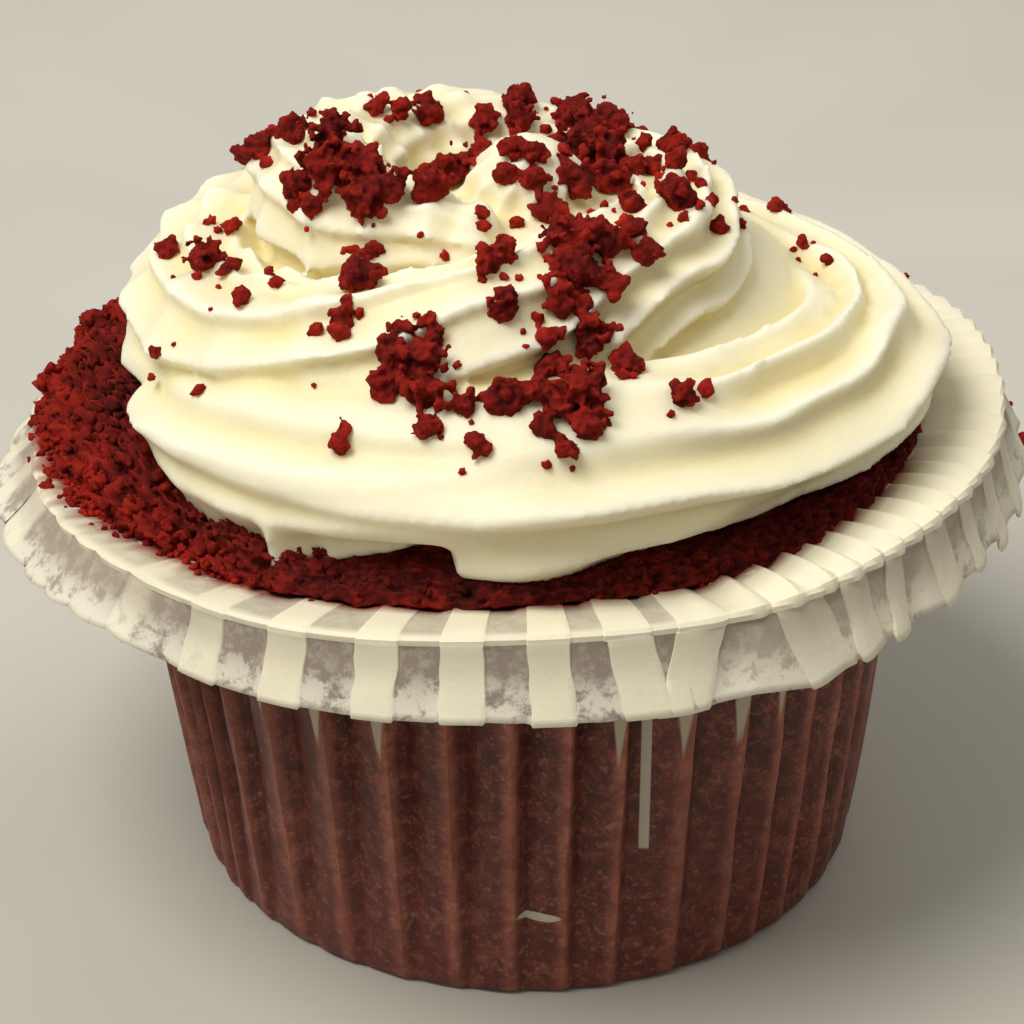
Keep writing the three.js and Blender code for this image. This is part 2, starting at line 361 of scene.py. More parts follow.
FROSTING_WARM = linear(240, 231, 196)
# Painted highlight on the frosting's crests
FROSTING_CREST_HIGHLIGHT = linear(249, 246, 230)
FROSTING_SHADE = linear(176, 163, 136)
# Painted shade in the cake's hollows, and a painted highlight on its crests
CAKE_HOLLOW_SHADE = linear(30, 6, 8)
CAKE_CREST_HIGHLIGHT = linear(190, 60, 40)
CLUMP_CORE = linear(60, 13, 15)
PAPER_CLOUD = linear(232, 226, 202)
PAPER_WHITE = linear(220, 213, 196)
PAPER_SHADE = linear(140, 126, 106)
WALL_DARK = linear(56, 19, 15)
WALL_BRIGHT = linear(104, 43, 33)
WALL_LOW = linear(116, 56, 42)
# Painted highlight along the pleat ridges of the wall
WALL_RIDGE_HIGHLIGHT = linear(172, 100, 80)
WALL_FLECK = linear(164, 112, 94)
WALL_SCRATCH = linear(170, 122, 104)
BARE_MARK = linear(182, 172, 152)
BARE_WEDGE = linear(172, 160, 140)
RED_FRINGE = linear(128, 24, 16)
TABLE_CLOUD = linear(206, 203, 193)
# Painted shade on the table nearer the camera
TABLE_NEAR_SHADE = linear(130, 124, 112)

# Where bare paper shows at the front of the wall: the middle, the half width and the foot of a strip,
# and the middle and the reach of a small tear, across and upward
STRIP_X, STRIP_HALF_WIDTH, STRIP_FOOT = 8.1 * MM, 0.35 * MM, 12.45 * MM
TEAR_X, TEAR_Z = 0.9 * MM, 7.3 * MM
TEAR_WIDTH, TEAR_HEIGHT = 1.7 * MM, 0.42 * MM


def cake_grain_group():
    """Crumb texture that the sponge and the loose crumbs share: a colour mask and a height."""
    group = bpy.data.node_groups.get("Cake Grain")
    if group:
        return group
    group = bpy.data.node_groups.new("Cake Grain", "ShaderNodeTree")
    group.interface.new_socket("Vector", in_out="INPUT", socket_type="NodeSocketVector")
    for name in ("Mask", "Height"):
        group.interface.new_socket(name, in_out="OUTPUT", socket_type="NodeSocketFloat")
    nodes = Nodes(group)
    place = nodes.add("NodeGroupInput").outputs["Vector"]
    broad = nodes.noise(place, 420.0, 5.0, 0.62)
    fine = nodes.noise(place, 1900.0, 4.0, 0.7)
    cells = nodes.add("ShaderNodeTexVoronoi", {"Vector": place, "Scale": 1500.0, "Randomness": 1.0})
    pores = nodes.steps(cells.outputs["Distance"], 0.1, 0.55)
    mask = nodes.plus(nodes.times(broad, 0.62), nodes.times(fine, 0.38))
    height = nodes.plus(nodes.times(fine, 0.6), nodes.times(pores, 0.4))
    nodes.put_all(nodes.add("NodeGroupOutput"), Mask=mask, Height=height)
    return group


def paper_marks(nodes, here):
    """Where the bare paper shows on the wall: a long narrow strip at the front and a small torn crescent."""
    axes = nodes.add("ShaderNodeSeparateXYZ", {"Vector": here})
    x, y, z = axes.outputs["X"], axes.outputs["Y"], axes.outputs["Z"]
    front = nodes.steps(y, -0.018, -0.02)
    aside = nodes.math("ABSOLUTE", nodes.minus(x, STRIP_X))
    inside = nodes.steps(aside, STRIP_HALF_WIDTH + 0.05 * MM, STRIP_HALF_WIDTH - 0.05 * MM)
    strip = nodes.times(inside, nodes.steps(z, STRIP_FOOT - 0.15 * MM, STRIP_FOOT + 0.15 * MM))
    across = nodes.math("POWER", nodes.math("DIVIDE", nodes.minus(x, TEAR_X), TEAR_WIDTH), 2.0)
    upward = nodes.math("POWER", nodes.math("DIVIDE", nodes.minus(z, TEAR_Z), TEAR_HEIGHT), 2.0)
    tear = nodes.steps(nodes.plus(across, upward), 1.0, 0.6)
    return nodes.times(nodes.math("MAXIMUM", strip, tear), front)


def frosting_material(colors):
    material, nodes, shader, here = new_material("Cream Frosting")
    broad = nodes.noise(here, 90.0, 3.0, 0.5)
    base = nodes.blend(nodes.steps(broad, 0.35, 0.68), tuple(colors.frosting), FROSTING_WARM)
    # Painted shade: the hollows between the ridges are darker and yellower
    hollow = nodes.times(nodes.steps(nodes.attribute("hollow"), 0.0, 1.0), 0.75)
    base = nodes.blend(hollow, base, tuple(colors.frosting_hollow_shade))
    # Painted highlight: the crests are whiter
    crest = nodes.times(nodes.attribute("crest"), 0.55)
    base = nodes.blend(crest, base, FROSTING_CREST_HIGHLIGHT)
    under = nodes.times(nodes.attribute("under"), 0.85)
    base = nodes.blend(under, base, FROSTING_SHADE)
    soft = nodes.noise(here, 520.0, 4.0, 0.6)
    fine = nodes.noise(here, 2600.0, 2.0, 0.5)
    height = nodes.plus(soft, nodes.times(fine, 0.25))
    nodes.put_all(
        shader,
        Base_Color=base,
        Roughness=nodes.between(broad, 0.38, 0.52),
        Subsurface_Weight=0.35,
        Subsurface_Radius=(1.0, 0.8, 0.45),
        Subsurface_Scale=0.0022,
        Specular_IOR_Level=0.42,
        Normal=nodes.bump(height, 0.35, 0.00022),
    )
    return material


def cake_material(name, dark, bright, lift=None, painted_relief=False, core=False):
    """Dark red cake. lift names the attribute that makes it brighter, and the relief switch paints shade into
    its hollows and a highlight on its crests.

    core darkens the middle of each clump of crumbs."""
    material, nodes, shader, here = new_material(name)
    cake = nodes.add("ShaderNodeGroup", {"Vector": here}, node_tree=cake_grain_group())
    share = nodes.steps(cake.outputs["Mask"], 0.36, 0.66)
    if lift:
        share = nodes.times(share, nodes.plus(0.3, nodes.attribute(lift)), clamped=True)
        share = nodes.plus(share, nodes.times(nodes.attribute(lift), 0.2), clamped=True)
    base = nodes.blend(share, dark, bright)
    if painted_relief:
        # Painted shade in the hollows and a painted highlight on the crests
        base = nodes.blend(nodes.times(nodes.attribute("hollow"), 0.75), base, CAKE_HOLLOW_SHADE)
        edge = nodes.times(nodes.attribute("crest"), 0.5)
        base = nodes.blend(edge, base, tuple(mix(b, c, 0.3) for b, c in zip(bright, CAKE_CREST_HIGHLIGHT)))
    if core:
        base = nodes.blend(nodes.times(nodes.attribute("core"), 0.55), base, CLUMP_CORE)
    nodes.put_all(
        shader,
        Base_Color=base,
        Roughness=0.82,
        Subsurface_Weight=0.12,
        Subsurface_Radius=(1.0, 0.25, 0.15),
        Subsurface_Scale=0.0008,
        Specular_IOR_Level=0.1,
        Normal=nodes.bump(cake.outputs["Height"], 0.75, 0.00035),
    )
    return material


def paper_material(colors):
    material, nodes, shader, here = new_material("Greaseproof Paper")
    mottle = nodes.noise(here, 700.0, 6.0, 0.72, 0.15)
    specks = nodes.noise(here, 1800.0, 3.0, 0.6)
    broad = nodes.noise(here, 120.0, 3.0, 0.5)
    layers, stuck, frosted, ridge, fringe, shade = [nodes.attribute(name) for name in PAPER_LAYERS]
    # Folded over, the paper is opaque and cream; a single layer is grey and mottled with white. Its grey is
    # partly the paper's own tone and partly painted shade that shows through it from behind.
    cloudy = nodes.plus(nodes.times(broad, 0.6), nodes.times(mottle, 0.4))
    opaque = nodes.blend(nodes.steps(cloudy, 0.38, 0.62), tuple(colors.paper), PAPER_CLOUD)
    bloom = nodes.plus(mottle, nodes.times(frosted, 0.16))
    white = nodes.times(nodes.steps(bloom, 0.5, 0.66), frosted)
    single = nodes.blend(white, tuple(colors.paper_single), PAPER_WHITE)
    dry = nodes.blend(layers, single, opaque)
    # Just under the crease the skirt lies in the shade of its own fold
    dry = nodes.blend(nodes.times(shade, 0.3), dry, PAPER_SHADE)
    # Grease lets the cake show through the wall
    wall = nodes.blend(nodes.steps(mottle, 0.36, 0.66), WALL_DARK, WALL_BRIGHT)
    low = nodes.minus(1.0, shade)
    wall = nodes.blend(nodes.times(low, 0.35), wall, WALL_LOW)
    # Painted highlight along the pleat ridges, broken up by the mottle
    highlight_breaks = nodes.times(nodes.steps(mottle, 0.38, 0.6), nodes.steps(broad, 0.3, 0.6))
    ridge_highlight = nodes.times(ridge, nodes.plus(0.55, nodes.times(highlight_breaks, 0.45)))
    wall = nodes.blend(nodes.times(ridge_highlight, 0.95), wall, WALL_RIDGE_HIGHLIGHT)
    flecks = nodes.times(nodes.steps(specks, 0.55, 0.66), nodes.steps(broad, 0.3, 0.6))
    wall = nodes.blend(nodes.times(flecks, 0.42), wall, WALL_FLECK)
    # Short pale scratches, where the paper's fibres show
    creases = nodes.noise(here, 950.0, 4.0, 0.75, 0.8)
    line = nodes.math("ABSOLUTE", nodes.minus(creases, 0.5))
    scratches = nodes.times(nodes.steps(line, 0.02, 0.004), nodes.steps(mottle, 0.47, 0.58))
    wall = nodes.blend(nodes.times(scratches, 0.42), wall, WALL_SCRATCH)
    wall = nodes.blend(paper_marks(nodes, here), wall, BARE_MARK)
    wedge = nodes.blend(nodes.steps(stuck, 0.44, 0.56), BARE_WEDGE, wall)
    base = nodes.blend(nodes.steps(stuck, 0.0, 0.02), dry, wedge)
    red = nodes.times(fringe, nodes.steps(mottle, 0.3, 0.46))
    base = nodes.blend(red, base, RED_FRINGE)
    crumple = nodes.plus(mottle, nodes.times(specks, 0.4))
    nodes.put_all(
        shader,
        Base_Color=base,
        Roughness=nodes.between(stuck, 0.62, 0.5),
        Specular_IOR_Level=0.35,
        Normal=nodes.bump(crumple, 0.4, 0.00012),
    )
    return material


# Paper case

# Where each pleat begins, in degrees: these as they fall at the front, the others evenly round the rest
FRONT_FOLDS = (-156, -150, -145, -138, -128, -118, -108, -99, -90, -82, -74, -63, -54, -47, -40, -32)
# How far the lower end of each of those pleats is pushed sideways, in degrees
FRONT_LEANS = (0, 0, 0, -1.6, -0.4, -0.2, 0, 0.2, 0.5, 1.9, -2.9, 3.2, 1.2, -0.6, 1.5, 0.8)
# What share of each of them is folded over, so that it hangs as an opaque strip
FRONT_STRIPS = (0.0, 0.0, 0.0, 0.42, 0.46, 0.45, 0.5, 0.5, 0.55, 0.62, 0.5, 0.72, 0.55, 0.4, 0.6, 0.45)
PLEATS = 42
COLUMNS_PER_PLEAT = 20
STRIP_COLUMNS = 8
# Where the columns of a pleat without a strip fall, and the angle above which a fold looks sharp, in degrees
UNSTRIPPED = 0.45
SHARP_FOLD = 32

# Heights along the sheet in millimetres, and how many rows of points each stretch of it has
WALL_FOOT = 1.2
WALL_TOP = 32.2
SKIRT_TOP = 34.12
SKIRT_FOOT = 29.8
FLOOR_FLARE = 0.15
FLOOR_ROWS = 7
WALL_ROWS = 20
RIM_ROWS = 10
SKIRT_ROWS = 10

# The rim sits a little to the left of the base and isn't level, in millimetres
RIM_SHIFT = -0.9
RIM_TILT_X = 1.7
RIM_TILT_Y = -1.1

# The skirt hangs in soft waves round this bearing, and was pressed into flat strips round the other
SOFT_BEARING = 172
PRESSED_BEARING = -106

# What the paper's material reads: how opaque the paper is, how firmly it sticks to the cake, how white it is,
# the ridges of the wall where a highlight is painted, the red fringe beside the crust, and the shade under
# the crease
PAPER_LAYERS = ("layers", "stuck", "frosted", "ridge", "fringe", "shade")


def pleat_starts():
    front = [math.radians(a) for a in FRONT_FOLDS]
    gap = front[0] + TAU - front[-1]
    rest = PLEATS - len(front) + 1
    starts = list(front)
    for k in range(1, rest):
        starts.append(front[-1] + gap * (k + 0.16 * math.sin(5 * k)) / rest)
    starts.append(front[0] + TAU)
    return starts


def pleat_shares(strip):
    """Where the columns of one pleat fall, from 0 to 1: close together at both edges of its strip."""
    edge = 0.012
    beside = COLUMNS_PER_PLEAT - STRIP_COLUMNS - 2
    shares = [0.0]
    shares += [mix(edge, strip - edge, k / STRIP_COLUMNS) for k in range(STRIP_COLUMNS + 1)]
    shares += [mix(strip + edge, 1.0, k / beside) for k in range(beside)]
    return shares


def pleat_lift(share):
    """Across one wall pleat: how far it stands out, with a sharp edge on its right."""
    knots = ((0.0, -1.0), (0.4, 0.35), (0.78, 1.0), (0.9, -0.3), (1.0, -1.0))
    for (x0, y0), (x1, y1) in zip(knots, knots[1:]):
        if share <= x1:
            return mix(y0, y1, (share - x0) / (x1 - x0))
    return -1.0


def rim_offset(angle):
    return RIM_SHIFT * math.cos(angle)


def rim_shift(angle):
    """How much higher the rim is on this side than in the middle. It waves a little."""
    tilt = RIM_TILT_X * math.cos(angle) + RIM_TILT_Y * math.sin(angle)
    return tilt + 0.3 * math.sin(3 * angle + 1) + 0.2 * math.sin(7 * angle)


def case_profile(case):
    """Radius, height and share of the rim's tilt along the sheet: floor, wall, rim, crease and skirt."""
    base, wall = case.base_radius / MM, case.wall_top_radius / MM
    crease, foot = case.crease_radius / MM, case.skirt_radius / MM
    wall_foot = base + FLOOR_FLARE
    points = [(0, 0, 0), (10, 0, 0), (19, 0, 0), (base - 0.9, 0, 0)]
    points += [(base - 0.35, 0.1, 0), (base - 0.02, 0.45, 0), (wall_foot, WALL_FOOT, 0)]
    for k in range(1, WALL_ROWS + 1):
        share = k / WALL_ROWS
        points.append((mix(wall_foot, wall, share), mix(WALL_FOOT, WALL_TOP, share), share**2))
    flare = ((0.25, 32.75), (0.9, 33.2), (2.1, 33.6), (3.5, 33.95), (4.6, 34.2), (5.6, 34.42))
    points += [(wall + out, height, 1) for out, height in flare]
    fold = ((-0.7, 34.58), (-0.15, 34.6), (0, 34.5), (-0.03, 34.2))
    points += [(crease + out, height, 1) for out, height in fold]
    for k in range(SKIRT_ROWS + 1):
        share = k / SKIRT_ROWS
        radius = mix(crease - 0.05, foot + 0.2, share**1.3)
        points.append((radius, mix(SKIRT_TOP, SKIRT_FOOT, share), mix(1, 0.7, share)))
    return points


class Pleat:
    """One pleat: its two edges, and how it was folded."""

    def __init__(self, first, last, strip, lean, droop, bare):
        self.first, self.last = first, last
        self.strip, self.lean, self.droop, self.bare = strip, lean, droop, bare
        self.shares = pleat_shares(strip or UNSTRIPPED)


def fold_pleats():
    """Every pleat: how its lower end droops and leans, and how far down the paper is bare beside it."""
    starts = pleat_starts()
    draw = random.Random(PLEAT_SEED)
    droops = [draw.uniform(-0.3, 0.3) for _ in range(PLEATS)]
    leans = [draw.uniform(-1.2, 1.2) for _ in range(PLEATS)]
    bares = [draw.uniform(7.5, 14.5) for _ in range(PLEATS)]
    strips = [draw.uniform(0.4, 0.62) for _ in range(PLEATS)]
    leans[: len(FRONT_LEANS)] = FRONT_LEANS
    strips[: len(FRONT_STRIPS)] = FRONT_STRIPS
    return [Pleat(*facts) for facts in zip(starts, starts[1:], strips, leans, droops, bares)]


class PaperPoint:
    """A point of the sheet before it is folded: where it lies, and how the case is shaped there."""

    def __init__(self, pleat, share, station):
        self.pleat = pleat
        self.share = share
        self.radius, self.height, self.tilt = station
        self.angle = mix(pleat.first, pleat.last, share)
        self.x, self.y = math.cos(self.angle) * self.radius, math.sin(self.angle) * self.radius
        self.offset = self.tilt * rim_offset(self.angle)
        self.shift = self.tilt * rim_shift(self.angle)
        self.soft = facing(self.angle, SOFT_BEARING, 0.35, 0.75)
        self.pressed = facing(self.angle, PRESSED_BEARING, 0.72, 0.86)
        self.loose = clamp(1 - self.pressed - self.soft)
        self.strip = (1 - self.soft) if 0.0 < share < pleat.strip else 0.0
        self.puff = math.sin(math.pi * share) ** 0.7
        self.band = ease(share, 0.0, 0.1) * (1 - ease(share, pleat.strip - 0.05, pleat.strip + 0.1))


def wall_point(at, depth):
    """The floor and the fluted wall. High up between two pleats, a wedge of the paper is bare of cake."""
    up = clamp((at.height - 0.3) / 32)
    wander = 0.09 * grain(at.angle * 16, 0, at.height, 5.0)
    lifted = pleat_lift(clamp(at.share + wander * math.sin(math.pi * at.share)))
    stand = depth * lifted * mix(0.08, 1.0, up**0.55) if at.height > 0.02 else 0.0
    stand += 0.1 * grain(at.x, at.y, at.height * 0.35, 2.2) * (1 if at.height > 0.3 else 0)
    height = max(at.height + at.shift, 0.0)
    bare_from = 31.5 - at.pleat.bare + rim_shift(at.angle)
    wedge = (height - bare_from) / (0.6 * at.pleat.bare)
    stuck = clamp(0.5 + 0.5 * (abs(at.share - 0.66) / 0.2 - wedge), 0.1, 1.0)
    # Where the material paints a highlight along the pleat's ridge
    ridge = ease(at.share, 0.5, 0.74) * (1 - ease(at.share, 0.8, 0.9)) * mix(0.5, 1.0, up)
    return turned(at.radius + (stand + at.offset), at.angle, height), (0.1, stuck, 0.1, ridge, 0, up)


def rim_point(at, depth, span):
    """The flared rim and its crease. span is the share of the way out across it."""
    half = (2 * at.share) % 1.0
    saw = half / 0.75 if half < 0.75 else (1 - half) / 0.25
    flute = 0.3 * pleat_lift(at.share) * depth * (1 - clamp(span * 2))
    arch = math.sin(math.pi * clamp(span * 0.8 + 0.2))
    rise = 0.85 * saw * at.loose + 0.1 * at.strip * at.pressed + (0.16 * at.puff + 0.2 * at.band) * at.soft
    spread_out = 0.3 * saw * at.loose + 0.08 * at.strip - 0.45 * at.soft * (1 - 0.6 * at.puff)
    radius = at.radius + (at.offset + span * spread_out)
    height = at.height + (at.shift - flute) + arch * rise
    opaque = mix(0.42, 1.0, max(at.strip, at.soft * mix(0.3, 0.85, at.band), at.loose))
    # The paper is drawn opaque along the crease: a bright line, partly the fold's doubled paper and partly a
    # painted highlight
    if span > 0.86:
        opaque = max(opaque, 0.92)
    edge, _, _ = crust_lip(at.angle)
    ragged = clamp(0.6 + grain(at.angle * 34, 1, 0, 1.0))
    past = radius - edge
    fringe = clamp(1 - past / (0.4 + 3.0 * crust_share(at.angle) * ragged)) if past > -5 else 1
    return turned(radius, at.angle, height), (opaque, 0, 0.3, 0, fringe, 0)


def skirt_point(at, down):
    """The skirt that hangs from the crease. down is the share of the way to its free edge."""
    flute = math.sin((at.share + 0.15) * TAU) * mix(0.1, 0.26, down) * at.loose
    radius = at.radius + (at.offset + 0.13 * at.strip + flute)
    radius += at.soft * (-0.45 + 0.95 * down + 0.5 * at.puff * down)
    radius += 0.3 * math.sin(4 * at.angle + 0.6) * down
    radius += 0.12 * grain(at.x, at.y, at.height, 2.5) * down
    droop = at.pleat.droop * (1 - 0.6 * at.pressed) - 0.16 * at.strip + 1.1 * at.soft
    height = at.height + (at.shift + down * droop)
    height += down * 0.35 * (at.share - 0.5) * at.loose
    angle = at.angle + math.radians(at.pleat.lean * down + 0.35 * grain(at.x, at.y, height, 1.8))
    opaque = max(at.strip * mix(1, 0.8, at.loose), at.soft * mix(0.15, 0.75, at.band), 0.3 * at.loose)
    frosted = mix(0.3, 1, ease(down, 0.3, 0.9))
    return turned(radius, angle, height), (opaque, 0, frosted, 0, 0, 1 - ease(down, 0.25, 0.7))


def build_paper_case(case, material):
    pleats = fold_pleats()
    profile = case_profile(case)
    depth = case.pleat_depth / MM
    last = len(profile) - 1
    rim_first = FLOOR_ROWS + WALL_ROWS
    crease_row = rim_first + RIM_ROWS - 2

    def place(column, row):
        if row == 0:
            return Vector((0, 0, 0)), (0.3, 1, 0, 0, 0, 0)
        pleat = pleats[column // COLUMNS_PER_PLEAT]
        at = PaperPoint(pleat, pleat.shares[column % COLUMNS_PER_PLEAT], profile[row])
        if row < rim_first:
            return wall_point(at, depth)
        if row <= crease_row + 1:
            return rim_point(at, depth, (row - rim_first) / (crease_row - rim_first))
        return skirt_point(at, (row - crease_row - 1) / (last - crease_row - 1))

    bm = new_bmesh(PAPER_LAYERS)
    add_surface(bm, PLEATS * COLUMNS_PER_PLEAT, last, place, PAPER_LAYERS)
    piece = finish_piece(bm, "pleated_paper", material)
    piece.data.set_sharp_from_angle(angle=math.radians(SHARP_FOLD))
    thick = piece.modifiers.new("Thickness", "SOLIDIFY")
    thick.thickness = case.paper_thickness
    thick.offset = -1.0
    thick.use_even_offset = False
    apply_modifiers(piece)
    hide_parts("paper_case")
    return piece


# Sponge

# The crust spills over the paper round this bearing
SPILL_BEARING = 172
# How far out it reaches over the paper, round the cupcake: bearing in degrees, radius in millimetres
CRUST_EDGE = (
    (-189, 36), (-168, 34), (-157, 33), (-146, 32), (-136, 31.5), (-126, 31.5), (-116, 30.5), (-106, 30),
    (-97, 30.5), (-86, 29.5), (-75, 29), (-59, 29.5), (-41, 29.5), (-20, 28.5), (0, 28), (40, 28.5),
    (90, 29.5), (130, 32.5), (150, 35), (171, 36),
)
# The crust rises from its lip to its shoulder, where it goes under the frosting, in millimetres
RIM_FOOT = 32.8
RIM_TOP = 34.6
SHOULDER_RADIUS = 26.3
SHOULDER_TOP = 36.6
LEFT_RISE = 2.0
LIP_SHARE = 0.1
DOME = ((18, 38.8), (8, 39.4), (0, 39.6))
SPONGE_COLUMNS = 540
CRUST_ROWS = 46


def crust_share(angle):
    """How far an angle is inside the torn side: 1 in the middle of it, 0 outside."""
    return facing(angle, SPILL_BEARING, 0.1, 0.95)


def by_bearing(table, degrees):
    """Reads a table of bearings and values, all the way round."""
    degrees = signed(degrees)
    if degrees > table[-1][0]:
        degrees -= 360
    for (a0, v0), (a1, v1) in zip(table, table[1:]):
        if a0 <= degrees <= a1:
            return mix(v0, v1, (degrees - a0) / (a1 - a0))
    return 0.0


def case_sizes():
    """The case's base radius, wall top radius and crease radius in millimetres."""
    case = bpy.context.scene.cupcake_case
    return case.base_radius / MM, case.wall_top_radius / MM, case.crease_radius / MM


def crust_lip(angle):
    """Where the crust ends on the paper: radius, the height of its foot, and the height of its shoulder."""
    _, wall, crease = case_sizes()
    radius = by_bearing(CRUST_EDGE, math.degrees(angle))
    share = clamp((radius - rim_offset(angle) - wall) / (crease - wall))
    foot = mix(RIM_FOOT, RIM_TOP, share) + 0.3 + rim_shift(angle)
    shoulder = SHOULDER_TOP + LEFT_RISE * facing(angle, 180, 0.7, 1)
    return radius, foot, shoulder


def hidden_sponge(angle):
    """Radius and height of the rows inside the case, from the middle of the underside up its wall."""
    base, wall, _ = case_sizes()
    return (
        (0, 0.8),
        (base - 1.8, 0.8),
        (base - 0.9, 2.0),
        (mix(base, wall, 0.5) - 1.4, 17.0),
        (wall - 1.6 + rim_offset(angle), 32.6 + rim_shift(angle)),
    )


def crust_point(sponge, angle, share):
    """The crust, from its lip on the paper to its shoulder, with torn fingers that reach over the paper."""
    spill = crust_share(angle)
    lip, foot, shoulder = crust_lip(angle)
    finger = grain(angle * 22, 3, 0, 1.0) + 0.7 * grain(angle * 60, 5, 0, 1.0)
    lip += finger * mix(0.3, 1.3, spill) - 0.3 * spill
    if share < LIP_SHARE:
        t = share / LIP_SHARE
        radius, height = mix(lip - 0.7, lip, t), mix(foot, foot + 0.35, t)
    else:
        t = (share - LIP_SHARE) / (1 - LIP_SHARE)
        bulge = math.sin(math.pi * t) * mix(0.5, 0.2, spill)
        radius = mix(lip, SHOULDER_RADIUS, t) + bulge
        height = mix(foot + 0.35, shoulder + 0.6, t ** mix(0.85, 0.8, spill)) + bulge
    x, y, z = radius * math.cos(angle), radius * math.sin(angle), height
    crag = 0.8 * grain(x, y, z, 4.2) + 0.7 * grain(x + 9, y, z, 1.7)
    pits = abs(grain(x, y + 7, z, 0.8)) + 0.7 * abs(grain(x + 3, y + 7, z, 0.38))
    crag += 0.5 - 1.5 * pits + 0.35 * grain(x, y, z + 5, 0.3)
    crag *= mix(sponge.front_crag / MM, sponge.left_crag / MM, spill)
    crag *= math.sin(math.pi * clamp(share * 0.9 + 0.08)) ** 0.5
    radius += crag * 0.7
    height = max(height + crag, foot - 0.1)
    torn = spill * mix(0.1, 0.85, ease(1 - share, 0.35, 0.9)) + 0.5 * ease(0.35 - share, 0, 0.35)
    torn = clamp(torn + 0.25 * grain(x, y, z, 3.0))
    return turned(radius, angle, height), (torn,)


def build_sponge(sponge, material):
    hidden_rows = len(hidden_sponge(0))

    def place(column, row):
        angle = TAU * column / SPONGE_COLUMNS
        step = row - hidden_rows
        if 0 <= step <= CRUST_ROWS:
            return crust_point(sponge, angle, step / CRUST_ROWS)
        radius, height = hidden_sponge(angle)[row] if step < 0 else DOME[step - CRUST_ROWS - 1]
        return turned(radius, angle, height), (0,)

    bm = new_bmesh(("torn",))
    add_surface(bm, SPONGE_COLUMNS, hidden_rows + CRUST_ROWS + len(DOME), place, ("torn",))
    piece = finish_piece(bm, "sponge_cake", material)
    # The material paints shade into the hollows and a highlight on the crests
    hollow_and_crest(piece.data, 6, 0.25)
    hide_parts("sponge")
    return piece


# Frosting

# Where the rope of frosting runs, at a station every eighth of a turn from its start at the left:
# how far it is from the axis, how high its middle is, and how thick it is there
START_ANGLE = -165
STATION_ANGLE = 45
SPIRAL = (
    (23.6, 38.6, 4.8), (22.6, 40.0, 6.9), (21.8, 40.8, 7.5), (21.6, 40.2, 7.2), (21.4, 38.9, 6.5),
    (20.4, 38.9, 5.8), (20.6, 41.2, 6.3), (21.0, 42.2, 6.9), (20.8, 42.4, 7.3), (17.2, 45.4, 7.4),
    (12.3, 48.1, 6.9), (10.6, 48.6, 6.5), (9.8, 47.4, 6.3), (10.0, 46.8, 6.2),
    (11.4, 48.2, 6.1), (13.2, 49.8, 6.0), (12.2, 50.2, 5.9), (7.4, 50.2, 3.4),
)
STATIONS = len(SPIRAL) - 1
ROPE_STEPS = 300
NOSE_STEPS = 6
COLUMNS_PER_TOOTH = 10
SLUMP = 0.14
SLUMP_BEARING = -30
# The frosting inside the turns, and the peak where the nozzle was lifted: radius and height
HEART = ((0, 35), (25.5, 35), (25.5, 38.5), (21, 43), (14, 47.5), (7, 50.5), (0, 52))
PEAK = ((0, 44), (5, 44), (5, 50.5), (4.25, 52.7), (2.5, 54.4), (0, 55.4))
HEART_COLUMNS = 48
PEAK_COLUMNS = 96
PEAK_TWIST = 0.25

# How far the lower edge of the outer turn reaches out or draws in: bearing in degrees, millimetres
LOWER_EDGE = (
    (-190, 1.2), (-181, 0.2), (-173, -2.8), (-166, -2.4), (-160, -0.6), (-152, -0.4), (-146, 0.1),
    (-131, 0.1), (-126, -0.4), (-124.6, 0.2), (-123.2, 3.2), (-122.4, 0.6), (-121, -0.6), (-116.6, -0.9),
    (-115.9, 0.5), (-115.2, -1.1), (-108, -2.0), (-101.4, -3.6), (-99.8, -0.6), (-96, -0.3), (-90, 0.2),
    (-84, -0.1), (-80, -0.8), (-65, -1.8), (-48, -1.9), (-32, -1.0), (-9, -0.7), (20, -0.4), (170, 1.2),
)
# The lower edge ends after this many stations, where the next turn lies over it
LOWER_EDGE_STATIONS = 4.3


def rope_at(station):
    """Where the rope's middle is at a station, how thick it is, and how far the nozzle had turned."""
    radius, height, girth = along(SPIRAL, station)
    sway = 0.25 * math.sin(station * 2.2) + 0.2 * math.sin(station * 4.1 + 1)
    angle = math.radians(START_ANGLE + station * STATION_ANGLE)
    roll = math.radians(17 * station + 12 * math.sin(station * 1.3))
    return angle, radius + sway, height + sway / 2, girth, roll


def leafiness(angle, station):
    """Where the ridges overlap one another like leaves instead of standing up evenly."""
    return mix(0.35, 0.85, facing(angle, -135, -0.1, 0.7)) * ease(station, 2.5, 5.5)


def ridge_strength(angle, bearing, station):
    """Ridges are pressed flat on top of the outer turn at the front, and deep at the right and higher up."""
    front = facing(angle, -118, 0.3, 0.8) * (1 if station < 4 else 0.25)
    top = ease(bearing, 20, 45) * (1 - ease(bearing, 120, 150))
    right = facing(angle, -5, 0.0, 0.8)
    upper = ease(station, 4.5, 7)
    pressed = (1 - 0.75 * front * top * (1 - upper)) * (1 - 0.25 * front * (1 - upper))
    return pressed * (1 + right) * (1 + 0.6 * upper)


def lower_edge(angle, bearing, station):
    """What the lower edge and the crest over it add to the rope's reach. Both angles are in degrees."""
    if station > LOWER_EDGE_STATIONS:
        return 0.0
    reach = by_bearing(LOWER_EDGE, angle)
    low = ease(-bearing, 6, 24) * ease(bearing, -110, -80)
    ledge = math.exp(-(((bearing - 9) / (18 if bearing > 9 else 4)) ** 2))
    groove = math.exp(-(((bearing - 36) / 8) ** 2)) * (1 - ease(angle, -110, -80))
    return reach * low + ledge * mix(1.0, 1.3, ease(angle, -125, -95)) - 0.8 * groove


